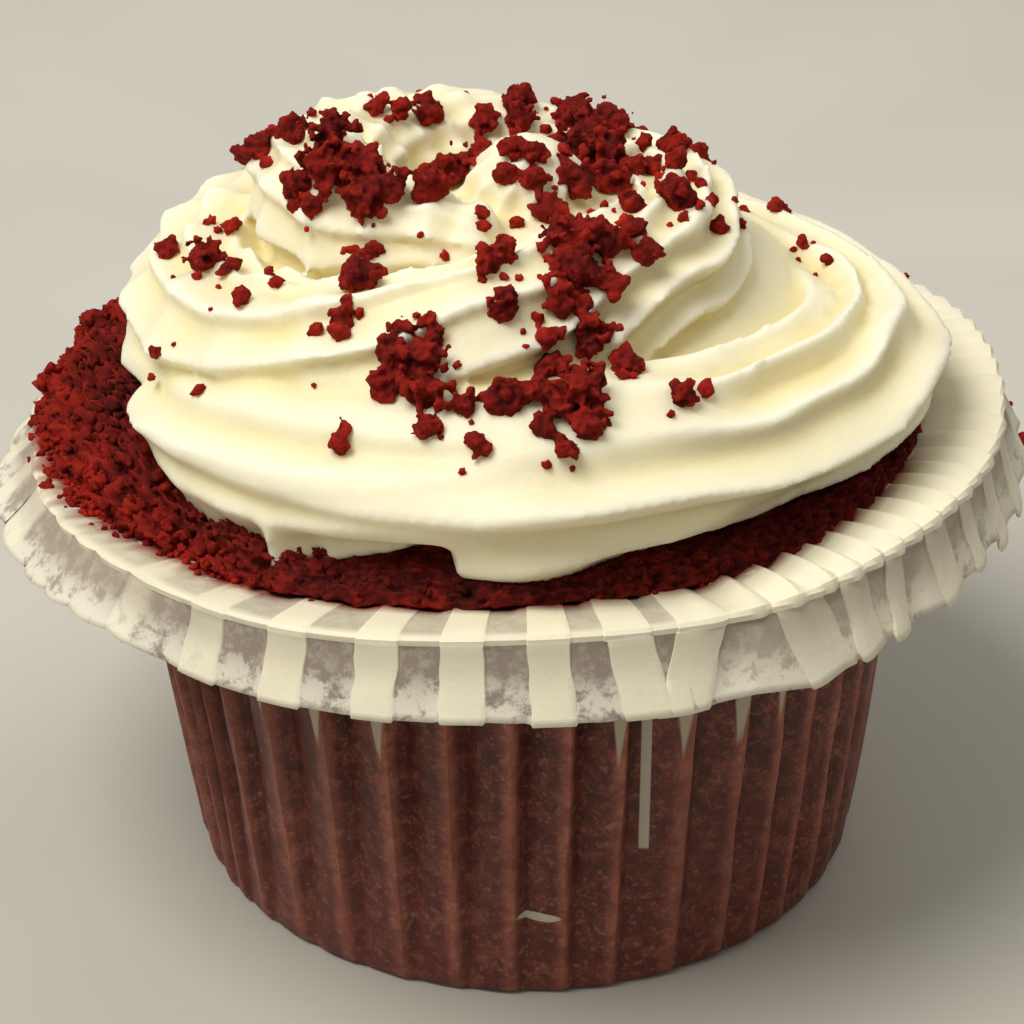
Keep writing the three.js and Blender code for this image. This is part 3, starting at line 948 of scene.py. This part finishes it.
def rope_end(row):
    """How wide the rope is at its rounded ends, as a share, and how far they slide along it, in radians."""
    if row < NOSE_STEPS:
        t = row / NOSE_STEPS
        return math.sqrt(1 - (1 - t) ** 2), -(1 - t) * 0.16
    if row > ROPE_STEPS + NOSE_STEPS:
        t = (ROPE_STEPS + 2 * NOSE_STEPS - row) / NOSE_STEPS
        return math.sqrt(1 - (1 - t) ** 2), (1 - t) * 0.3
    return 1.0, 0.0


def rope_point(frosting, column, row):
    """A point of the rope. The columns run round its section, with a ridge for each tooth of the nozzle."""
    station = STATIONS * clamp((row - NOSE_STEPS) / ROPE_STEPS)
    angle, radius, height, girth, roll = rope_at(station)
    bearing = roll + TAU * column / (frosting.teeth * COLUMNS_PER_TOOTH)
    turn = bearing - roll
    degrees = signed(math.degrees(bearing))
    waver = 0.35 * noise.noise(Vector((station * 2.3, 9, math.cos(bearing) * 1.5)))
    tooth = frosting.teeth * turn / TAU
    phase = (tooth + waver) % 1.0
    cusp = 1 - math.sin(math.pi * phase)
    leaf = (phase / 0.16 if phase < 0.16 else (1 - phase) / 0.84) ** 1.3
    crest_line = mix(cusp, leaf, leafiness(angle, station))
    wobble = 0.85 + 0.5 * noise.noise(Vector((station * 1.3, round(tooth) * 3.1, 0)))
    depth = frosting.tooth_depth * ridge_strength(angle, degrees, station) * wobble
    slumped = 1 + SLUMP * math.cos(bearing - math.radians(SLUMP_BEARING))
    reach = girth * slumped * (1 - depth * (1 - crest_line))
    reach += lower_edge(math.degrees(angle), degrees, station)
    reach += 0.22 * noise.noise(Vector((station * 4, math.cos(bearing) * 2, math.sin(bearing) * 2)))
    ruffle = facing(angle, 175, 0.1, 0.75) * ease(station, 5.5, 7)
    reach += 0.8 * ruffle * (0.3 - abs(math.sin(station * 9 + 1.2 * turn)))
    nose, slide = rope_end(row)
    reach *= nose
    # The end that was piped first stands clear of the turn above it
    slide += 0.15 * (1 - ease(station, 0, 0.8))
    return turned(radius + reach * math.cos(bearing), angle + slide, height + reach * math.sin(bearing)), ()


def build_frosting(frosting, material):
    around = frosting.teeth * COLUMNS_PER_TOOTH

    def rope(column, row):
        return rope_point(frosting, around - column, row)

    def heart(column, row):
        return turned(HEART[row][0], TAU * column / HEART_COLUMNS, HEART[row][1]), ()

    def peak(column, row):
        notch = 1 - frosting.tooth_depth * abs(math.sin(frosting.teeth * column / PEAK_COLUMNS * math.pi))
        angle = TAU * column / PEAK_COLUMNS + PEAK_TWIST * row
        return turned(PEAK[row][0] * notch, angle, PEAK[row][1]), ()

    bm = new_bmesh()
    add_surface(bm, around, ROPE_STEPS + 2 * NOSE_STEPS, rope)
    add_surface(bm, HEART_COLUMNS, len(HEART) - 1, heart)
    add_surface(bm, PEAK_COLUMNS, len(PEAK) - 1, peak)
    skin = voxel_skin(bm, SWIRL_VOXEL)
    smooth_mesh(skin, 2)
    # The material paints shade into the hollows and a highlight on the crests
    hollow_and_crest(skin, 60, 0.4)
    # The undersides that face right lie in the shade
    normals = vertex_array(skin, "normal")
    right = np.clip(0.75 * normals[:, 0] - 0.35 * normals[:, 1], 0, 1)
    store(skin, "under", np.clip(0.42 - 1.6 * normals[:, 2], 0, 1) * right)
    piece = piece_from_mesh(skin, "piped_swirl", material)
    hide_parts("frosting")
    return piece


# Crumbs

# Clumps that were pressed on by hand, by their width in millimetres: where each lies, seen from above
CLUMPS = {
    3.6: ((-13.5, -2), (-13.5, -5.5), (4, 6.5), (6, 4.5), (3.5, -24.5), (-5, 2)),
    3.1: ((-8.5, -21.5), (-6.5, -23.5), (3.5, -16), (4, -18.5), (5.5, 1), (-11, -7.5), (2.5, -13.5), (6, 10)),
    2.7: ((-6.5, -22), (-6.5, -6.5), (3.5, 10.5), (3.5, -2), (10, -6.5), (4.5, -14), (-11, -14.5), (-0.5, 9)),
    2.5: ((-22, -6), (-16, 2), (-11, -4.5), (-9.5, -7), (1.5, -4.5), (10.5, 5.5), (4, -26.5), (-1.5, -25)),
    2.2: ((-18.5, 3), (-15.5, -4), (-7, 8), (2, -18), (5.5, -13.5), (1.5, -20.5), (2, -25.5), (1, -24)),
    2.1: ((-0.5, 11.5), (-1.5, -19.5), (-0.5, -24.5), (-9, -22.5), (-3, 8.5), (6.5, -20), (5.5, -16.5)),
    1.8: ((-3, 7), (0.5, -2), (-1, -1.5), (7, -8), (-1.5, -16), (-2.5, -17), (8, -13.5), (10, -23)),
    1.7: ((-12, -25), (-4, -25), (-6.5, -26), (-3, -27.5), (1, -27), (-6, -21), (-12, -18), (-14.5, -6.5)),
    1.6: ((-1.5, -3), (0.5, -3.5), (7.5, 2.5), (10.5, 1), (7, -12), (-10.5, 6.5), (-10.5, -9), (2.5, -28)),
    1.4: ((-25, -2), (-20.5, 0), (-19, -13.5), (-12, -19.5), (13, -5.5), (12.5, 8.5), (9, 3), (-9, 6.5)),
    1: ((-25, -11.5), (-20.5, -7.5), (15, -0.5), (20, 5.5), (21.5, 2.5), (18.5, 13), (-3, -7.5), (10.5, -9)),
}
# The same for the side that is out of sight
BACK_CLUMPS = {
    3.2: ((-12, 14.5), (12, 15.5), (4, 18), (-7, 16)),
    2.2: ((-3, 20), (0, 24), (14, 19), (-20, 12), (9, 12)),
    1.5: ((-15, 17), (8, 22), (19, 15)),
}


# How many lumps are made in one bmesh
BATCH = 30
# A lump wider than this, in millimetres, is made finer
FINE_WIDTH = 0.7
# Loose crumbs stay above this height, and those on the rim too, in millimetres
LOWEST_LOOSE = 42
LOWEST_ON_RIM = 31
# The crust's crumbs start this far from the axis, in millimetres
CRUST_CRUMBS_FROM = 26.0


def all_clumps():
    """Every clump as x, y and width in millimetres."""
    tables = (CLUMPS, BACK_CLUMPS)
    return [(x, y, width) for table in tables for width, places in table.items() for x, y in places]


def drawn_direction(draw):
    return Vector((draw.gauss(0, 1), draw.gauss(0, 1), draw.gauss(0, 1))).normalized()


def drawn_seed(draw, far):
    """A place in the noise, so that no two lumps look alike."""
    return Vector((draw.uniform(0, far), draw.uniform(0, far), draw.uniform(0, far)))


def add_lump(bm, centre, width, subdivisions, draw):
    """A jagged lump of cake, centre and width in millimetres."""
    made = bmesh.ops.create_icosphere(bm, subdivisions=subdivisions, radius=0.5)["verts"]
    axis = drawn_direction(draw)
    turn = Matrix.Rotation(draw.uniform(0, TAU), 3, axis)
    stretch = Vector((draw.uniform(0.8, 1.25), draw.uniform(0.8, 1.2), draw.uniform(0.65, 1.0)))
    seed = drawn_seed(draw, 50)
    for vert in made:
        swell = 1 + 0.6 * noise.noise(vert.co * 3.1 + seed) + 0.35 * noise.noise(vert.co * 8 + seed)
        shaped = Vector(vert.co * stretch) * swell * width
        vert.co = (turn @ shaped + Vector(centre)) * MM


def lumps_bmesh(lumps, draw):
    """A bmesh of lumps, each a centre, a width and a fineness. Small batches are quicker than one bmesh."""
    bm = bmesh.new()
    for first in range(0, len(lumps), BATCH):
        batch = bmesh.new()
        for centre, width, subdivisions in lumps[first : first + BATCH]:
            add_lump(batch, centre, width, subdivisions, draw)
        part = bpy.data.meshes.new("batch")
        batch.to_mesh(part)
        batch.free()
        bm.from_mesh(part)
        bpy.data.meshes.remove(part)
    return bm


def surface_of(piece):
    bm = bmesh.new()
    bm.from_mesh(piece.data)
    tree = BVHTree.FromBMesh(bm)
    bm.free()
    return tree


def drop(tree, x, y):
    """How high something dropped from above lands, in millimetres, or None where it misses."""
    hit, _, _, _ = tree.ray_cast(Vector((x, y, 90)) * MM, Vector((0, 0, -1)))
    return None if hit is None else (hit / MM).z


def clump_lumps(crumbs, middle, width, draw, swirl_tree):
    """The lumps of one clump: a core, and smaller ones that lie about it on the frosting and each other."""
    seed = drawn_seed(draw, 90)
    long, turn = draw.uniform(1.0, 1.2), draw.uniform(0, TAU)
    lumps = [(tuple(middle - Vector((0, 0, 0.1 * width))), min(0.7 * width, 2.4), 2)]
    for _ in range(max(4, round(crumbs.clump_density * width**2))):
        spot = drawn_direction(draw) * draw.random() ** 0.5
        if noise.noise(spot * 1.8 + seed) < -0.62:
            continue
        size = max(min(0.55 * width, draw.uniform(0.8, 1.35) - 0.5 * spot.length), 0.35)
        away = 0.54 * width - 0.3 * size
        sx, sy = spot.x * long * away, spot.y / long * away
        x = middle.x + sx * math.cos(turn) - sy * math.sin(turn)
        y = middle.y + sx * math.sin(turn) + sy * math.cos(turn)
        below = drop(swirl_tree, x, y)
        if below is None:
            continue
        z = max(below + 0.15 * size, middle.z + spot.z * 0.8 * away)
        z = min(z, below + 0.3 + 0.75 * width)
        lumps.append(((x, y, z), size, 2 if size > FINE_WIDTH else 1))
    return lumps


def roughen(skin):
    """Gives the skin of the clumps a grain of fine crumbs."""
    places = vertex_array(skin)
    rough = [grain(*p, 0.55) + 0.9 * grain(*p, 0.3) for p in (places / MM).tolist()]
    places += vertex_array(skin, "normal") * (np.array(rough) * 0.17 * MM)[:, None]
    skin.vertices.foreach_set("co", places.ravel())
    skin.update()


def build_clumps(crumbs, material, swirl_tree):
    draw = random.Random(CLUMP_SEED)
    lumps = []
    cores = []
    for x, y, width in all_clumps():
        width *= crumbs.clump_size
        landing = drop(swirl_tree, x, y)
        if landing is not None:
            middle = Vector((x, y, landing + 0.24 * width))
            cores.append((middle, width))
            lumps += clump_lumps(crumbs, middle, width, draw, swirl_tree)
    skin = voxel_skin(lumps_bmesh(lumps, draw), CLUMP_VOXEL)
    roughen(skin)
    # The material paints shade into the hollows and a highlight on the crests
    hollow_and_crest(skin, 5, 0.12)
    places = vertex_array(skin) / MM
    core = np.zeros(len(places))
    for middle, width in cores:
        far = np.linalg.norm(places - tuple(middle), axis=1) / (0.55 * width)
        core = np.maximum(core, np.clip(1.25 - far, 0, 1) * min(1, width / 3.2))
    store(skin, "core", core)
    return piece_from_mesh(skin, "crumb_clumps", material)


def build_loose_crumbs(material, swirl_tree):
    """Single crumbs that lie round the clumps."""
    draw = random.Random(LOOSE_SEED)
    lumps = []
    for x, y, width in all_clumps():
        for _ in range(draw.choice((0, 1, 2, 2, 3, 4))):
            lean = draw.uniform(0, TAU)
            away = width * 0.6 + draw.expovariate(1 / 0.9)
            px, py = x + away * math.cos(lean), y + away * math.sin(lean)
            landing = drop(swirl_tree, px, py)
            if landing is not None and landing >= LOWEST_LOOSE:
                size = mix(0.35, 1.2, draw.random() ** 1.6)
                lumps.append(((px, py, landing + 0.2 * size), size, 2))
    return finish_piece(lumps_bmesh(lumps, draw), "loose_crumbs", material)


def build_crust_crumbs(crumbs, material, sponge_tree):
    """Crumbs all over the crust, most of them where it is torn."""
    draw = random.Random(CRUST_SEED)
    lumps = []
    while len(lumps) < crumbs.crust_count:
        angle = draw.uniform(0, TAU)
        spill = crust_share(angle)
        if draw.random() > 0.3 + 0.7 * spill:
            continue
        lip, _, _ = crust_lip(angle)
        radius = mix(CRUST_CRUMBS_FROM, lip + 0.3, draw.random() ** 0.8)
        px, py = radius * math.cos(angle), radius * math.sin(angle)
        landing = drop(sponge_tree, px, py)
        if landing is not None:
            size = draw.uniform(0.3, 0.9) * mix(0.8, 1.1, spill)
            lumps.append(((px, py, landing - 0.12 * size), size, 1 if size < 0.5 else 2))
    piece = finish_piece(lumps_bmesh(lumps, draw), "crust_crumbs", material)
    torn = []
    for x, y, _ in (vertex_array(piece.data) / MM).tolist():
        angle = math.atan2(y, x)
        lip, _, _ = crust_lip(angle)
        out = clamp((math.hypot(x, y) - CRUST_CRUMBS_FROM) / max(lip - CRUST_CRUMBS_FROM, 0.5))
        torn.append(crust_share(angle) * mix(0.05, 0.8, ease(out, 0.35, 0.95)) + 0.12)
    store(piece.data, "torn", torn)
    return piece


# Crumbs that fell on the paper, seen from above, and the width of each
PAPER_CRUMBS = ((28.0, 18.0, 0.6), (29.0, 17.2, 0.8), (35.8, -1.2, 1.1), (35.6, 4.0, 0.5), (-36.0, 2.0, 0.7))


def build_rim_crumbs(crumbs, material, paper_tree):
    draw = random.Random(RIM_SEED)
    lumps = []
    for x, y, width in PAPER_CRUMBS:
        landing = drop(paper_tree, x, y)
        if landing is not None:
            lumps.append(((x, y, landing + 0.2 * width), width, 2))
    while len(lumps) < crumbs.rim_count:
        angle = draw.uniform(0, TAU)
        spill = crust_share(angle)
        if draw.random() > 0.05 + 0.95 * spill**2:
            continue
        lip, _, _ = crust_lip(angle)
        radius = lip + abs(draw.gauss(0, 0.3 + 0.5 * spill)) - 0.6
        px, py = radius * math.cos(angle), radius * math.sin(angle)
        landing = drop(paper_tree, px, py)
        if landing is not None and landing >= LOWEST_ON_RIM:
            size = draw.uniform(0.25, 0.8)
            lumps.append(((px, py, landing + 0.15 * size), size, 1))
    return finish_piece(lumps_bmesh(lumps, draw), "rim_crumbs", material)


# Settings


def length(name, description, millimetres):
    told = {"name": name, "description": description, "default": millimetres * MM, "min": 0.0}
    return bpy.props.FloatProperty(**told, subtype="DISTANCE", unit="LENGTH", precision=5)


def color(name, description, value):
    told = {"name": name, "description": description, "default": value, "min": 0.0, "max": 1.0}
    return bpy.props.FloatVectorProperty(**told, size=3, subtype="COLOR")


def number(name, description, value, least, most):
    told = {"name": name, "description": description, "default": value, "min": least, "max": most}
    return bpy.props.FloatProperty(**told, subtype="FACTOR")


def count(name, description, value, least=0, most=5000):
    return bpy.props.IntProperty(name=name, description=description, default=value, min=least, max=most)


class CaseSettings(bpy.types.PropertyGroup):
    base_radius: length("Base radius", "Radius of the flat floor of the case", 24.6)
    wall_top_radius: length("Wall top radius", "Radius where the wall flares into the rim", 27.5)
    crease_radius: length("Crease radius", "Radius of the fold between rim and skirt", 34.7)
    skirt_radius: length("Skirt radius", "Radius of the skirt's free edge", 36.1)
    pleat_depth: length("Pleat depth", "How far the pleats stand out at the top of the wall", 0.95)
    paper_thickness: length("Paper thickness", "Thickness of the paper", 0.13)


class SpongeSettings(bpy.types.PropertyGroup):
    front_crag: length("Front roughness", "Height of the crags where the crust is whole", 0.5)
    left_crag: length("Torn roughness", "Height of the crags where the sponge broke", 1.3)


class FrostingSettings(bpy.types.PropertyGroup):
    teeth: count("Nozzle teeth", "Ridges round the piped rope", 12, 5, 20)
    tooth_depth: number("Ridge depth", "Depth of the ridges as a share of the rope", 0.15, 0.0, 0.5)


class CrumbSettings(bpy.types.PropertyGroup):
    crust_count: count("Crust crumbs", "Crumbs that make the crust rough", 1900)
    clump_size: number("Clump size", "Width of the clumps as a share of their listed widths", 1.3, 0.3, 3.0)
    clump_density: number("Clump density", "Lumps for each square millimetre of a clump", 2.6, 0.5, 8.0)
    rim_count: count("Rim crumbs", "Crumbs that fell on the paper", 360)


class ColorSettings(bpy.types.PropertyGroup):
    frosting: color("Frosting", "Frosting where it is smooth", linear(238, 229, 192))
    # The frosting's colour in its valleys is painted shade
    frosting_hollow_shade: color("Frosting hollows", "Frosting in its valleys", linear(232, 218, 158))
    paper: color("Paper", "Paper where it is folded over", linear(236, 229, 202))
    # The single layer's grey is partly painted shade that shows through the thin sheet
    paper_single: color("Single layer", "Paper where only one layer shows", linear(142, 129, 119))
    crumb_dark: color("Dark crumb", "Darkest cake crumbs", linear(72, 11, 9))
    crumb_bright: color("Bright crumb", "Brightest cake crumbs", linear(166, 35, 21))
    floor: color("Floor", "Table that the cupcake stands on", linear(196, 193, 183))


# Operators


class CUPCAKE_OT_paper_case(bpy.types.Operator):
    """Make the pleated paper case with its flared rim and folded skirt"""

    bl_idname = "cupcake.paper_case"
    bl_label = "Paper Case"

    def execute(self, context):
        scene = context.scene
        build_paper_case(scene.cupcake_case, paper_material(scene.cupcake_colors))
        return {"FINISHED"}


class CUPCAKE_OT_sponge(bpy.types.Operator):
    """Make the sponge with its torn crust"""

    bl_idname = "cupcake.sponge"
    bl_label = "Sponge"

    def execute(self, context):
        scene = context.scene
        dark, bright = linear(55, 15, 13), linear(140, 28, 18)
        build_sponge(scene.cupcake_sponge, cake_material("Torn Sponge", dark, bright, "torn", painted_relief=True))
        return {"FINISHED"}


class CUPCAKE_OT_frosting(bpy.types.Operator):
    """Pipe the swirl of frosting"""

    bl_idname = "cupcake.frosting"
    bl_label = "Frosting"

    def execute(self, context):
        scene = context.scene
        build_frosting(scene.cupcake_frosting, frosting_material(scene.cupcake_colors))
        return {"FINISHED"}


class CUPCAKE_OT_crumbs(bpy.types.Operator):
    """Scatter the cake crumbs over frosting, crust and paper"""

    bl_idname = "cupcake.crumbs"
    bl_label = "Crumbs"

    def execute(self, context):
        scene = context.scene
        crumbs = scene.cupcake_crumbs
        needed = [bpy.data.objects.get(name) for name in ("piped_swirl", "sponge_cake", "pleated_paper")]
        if None in needed:
            raise RuntimeError("the crumbs need the paper case, the sponge and the frosting first")
        swirl_tree, sponge_tree, paper_tree = [surface_of(piece) for piece in needed]
        loose = cake_material("Loose Crumbs", linear(98, 16, 11), linear(172, 38, 24))
        torn = cake_material("Crust Crumbs", linear(52, 12, 10), linear(142, 30, 18), "torn")
        dark, bright = tuple(scene.cupcake_colors.crumb_dark), tuple(scene.cupcake_colors.crumb_bright)
        clumped = cake_material("Crumb Clumps", dark, bright, painted_relief=True, core=True)
        build_clumps(crumbs, clumped, swirl_tree)
        build_loose_crumbs(loose, swirl_tree)
        build_crust_crumbs(crumbs, torn, sponge_tree)
        build_rim_crumbs(crumbs, loose, paper_tree)
        return {"FINISHED"}


class CUPCAKE_OT_stage(bpy.types.Operator):
    """Set the pale table, the soft light and the camera"""

    bl_idname = "cupcake.stage"
    bl_label = "Stage"

    def execute(self, context):
        scene = context.scene
        build_floor(scene.cupcake_colors)
        build_lights()
        build_camera()
        scene.view_settings.view_transform = "Standard"
        return {"FINISHED"}


def build_floor(colors):
    bm = new_bmesh()
    bmesh.ops.create_grid(bm, x_segments=4, y_segments=4, size=TABLE_HALF_WIDTH)
    mesh = bpy.data.meshes.new("table")
    bm.to_mesh(mesh)
    bm.free()
    material, nodes, shader, here = new_material("Pale Table")
    cloud = nodes.noise(here, 9.0, 4.0, 0.5, 0.6)
    base = nodes.blend(nodes.steps(cloud, 0.35, 0.7), tuple(colors.floor), TABLE_CLOUD)
    # Painted shade: the table grows darker towards the camera, where the light falls off
    away = nodes.add("ShaderNodeSeparateXYZ", {"Vector": here}).outputs["Y"]
    painted_falloff = nodes.steps(away, 0.09, -0.07)
    base = nodes.blend(nodes.times(painted_falloff, 0.3), base, TABLE_NEAR_SHADE)
    nodes.put_all(shader, Base_Color=base, Roughness=0.55)
    mesh.materials.append(material)
    table = new_object("table", mesh)


# Each light's name, place in metres, width in metres, power in watts and tint
LIGHTS = (
    ("key", (-0.27, -0.17, 0.62), 0.45, 4.4, (1.0, 0.975, 0.92)),
    ("back_fill", (0.35, 0.35, 0.6), 0.6, 0.9, (1.0, 0.98, 0.94)),
)
LIGHTS_AIM = Vector((0, 0, 0.03))
SKY_COLOR = (1.0, 0.97, 0.9, 1.0)
SKY_STRENGTH = 0.35
TABLE_HALF_WIDTH = 1.2


def add_area_light(name, place, size, power, tint):
    lamp = bpy.data.lights.new(name, "AREA")
    lamp.shape = "DISK"
    lamp.size = size
    lamp.energy = power
    lamp.color = tint
    light = new_object(name, lamp)
    light.location = place
    light.rotation_euler = (LIGHTS_AIM - Vector(place)).to_track_quat("-Z", "Y").to_euler()


def build_lights():
    for light in LIGHTS:
        add_area_light(*light)
    world = bpy.data.worlds.new("Soft Room")
    world.use_nodes = True
    sky = world.node_tree.nodes["Background"]
    sky.inputs["Color"].default_value = SKY_COLOR
    sky.inputs["Strength"].default_value = SKY_STRENGTH
    bpy.context.scene.world = world


# The camera's lens in millimetres, how far it is from its target in metres, and how many degrees above it
CAMERA_LENS = 114.9
CAMERA_DISTANCE = 0.24
CAMERA_HEIGHT_ANGLE = 29.85
CAMERA_TARGET = (-0.00097, 0.0, 0.02526)


def build_camera():
    data = bpy.data.cameras.new("camera")
    data.lens = CAMERA_LENS
    data.sensor_width = 36.0
    data.clip_start = 0.01
    camera = new_object("camera", data)
    tilt = math.radians(CAMERA_HEIGHT_ANGLE)
    back = Vector((0.0, -math.cos(tilt), math.sin(tilt))) * CAMERA_DISTANCE
    camera.location = Vector(CAMERA_TARGET) + back
    camera.rotation_euler = (math.pi / 2 - tilt, 0.0, 0.0)
    bpy.context.scene.camera = camera


class CUPCAKE_PT_panel(bpy.types.Panel):
    """Lists the steps that build the cupcake"""

    bl_idname = "CUPCAKE_PT_panel"
    bl_label = "Cupcake"
    bl_space_type = "VIEW_3D"
    bl_region_type = "UI"
    bl_category = "Cupcake"

    def draw(self, context):
        scene = context.scene
        for title, settings, operator in STEPS:
            box = self.layout.box()
            box.label(text=title)
            if settings:
                for name in getattr(scene, settings).__annotations__:
                    box.prop(getattr(scene, settings), name)
            if operator:
                box.operator(operator)


STEPS = (
    ("Colours", "cupcake_colors", None),
    ("Paper case", "cupcake_case", "cupcake.paper_case"),
    ("Sponge", "cupcake_sponge", "cupcake.sponge"),
    ("Frosting", "cupcake_frosting", "cupcake.frosting"),
    ("Crumbs", "cupcake_crumbs", "cupcake.crumbs"),
    ("Stage", None, "cupcake.stage"),
)
SETTINGS = {
    "cupcake_colors": ColorSettings,
    "cupcake_case": CaseSettings,
    "cupcake_sponge": SpongeSettings,
    "cupcake_frosting": FrostingSettings,
    "cupcake_crumbs": CrumbSettings,
}
CLASSES = (
    *SETTINGS.values(),
    CUPCAKE_OT_paper_case,
    CUPCAKE_OT_sponge,
    CUPCAKE_OT_frosting,
    CUPCAKE_OT_crumbs,
    CUPCAKE_OT_stage,
    CUPCAKE_PT_panel,
)


def register():
    for cls in CLASSES:
        bpy.utils.register_class(cls)
    for name, group in SETTINGS.items():
        setattr(bpy.types.Scene, name, bpy.props.PointerProperty(type=group))


def unregister():
    for name in SETTINGS:
        delattr(bpy.types.Scene, name)
    for cls in reversed(CLASSES):
        bpy.utils.unregister_class(cls)


def main():
    register()
    bpy.ops.cupcake.paper_case()
    bpy.ops.cupcake.sponge()
    bpy.ops.cupcake.frosting()
    bpy.ops.cupcake.crumbs()
    bpy.ops.cupcake.stage()


if __name__ == "__main__":
    main()
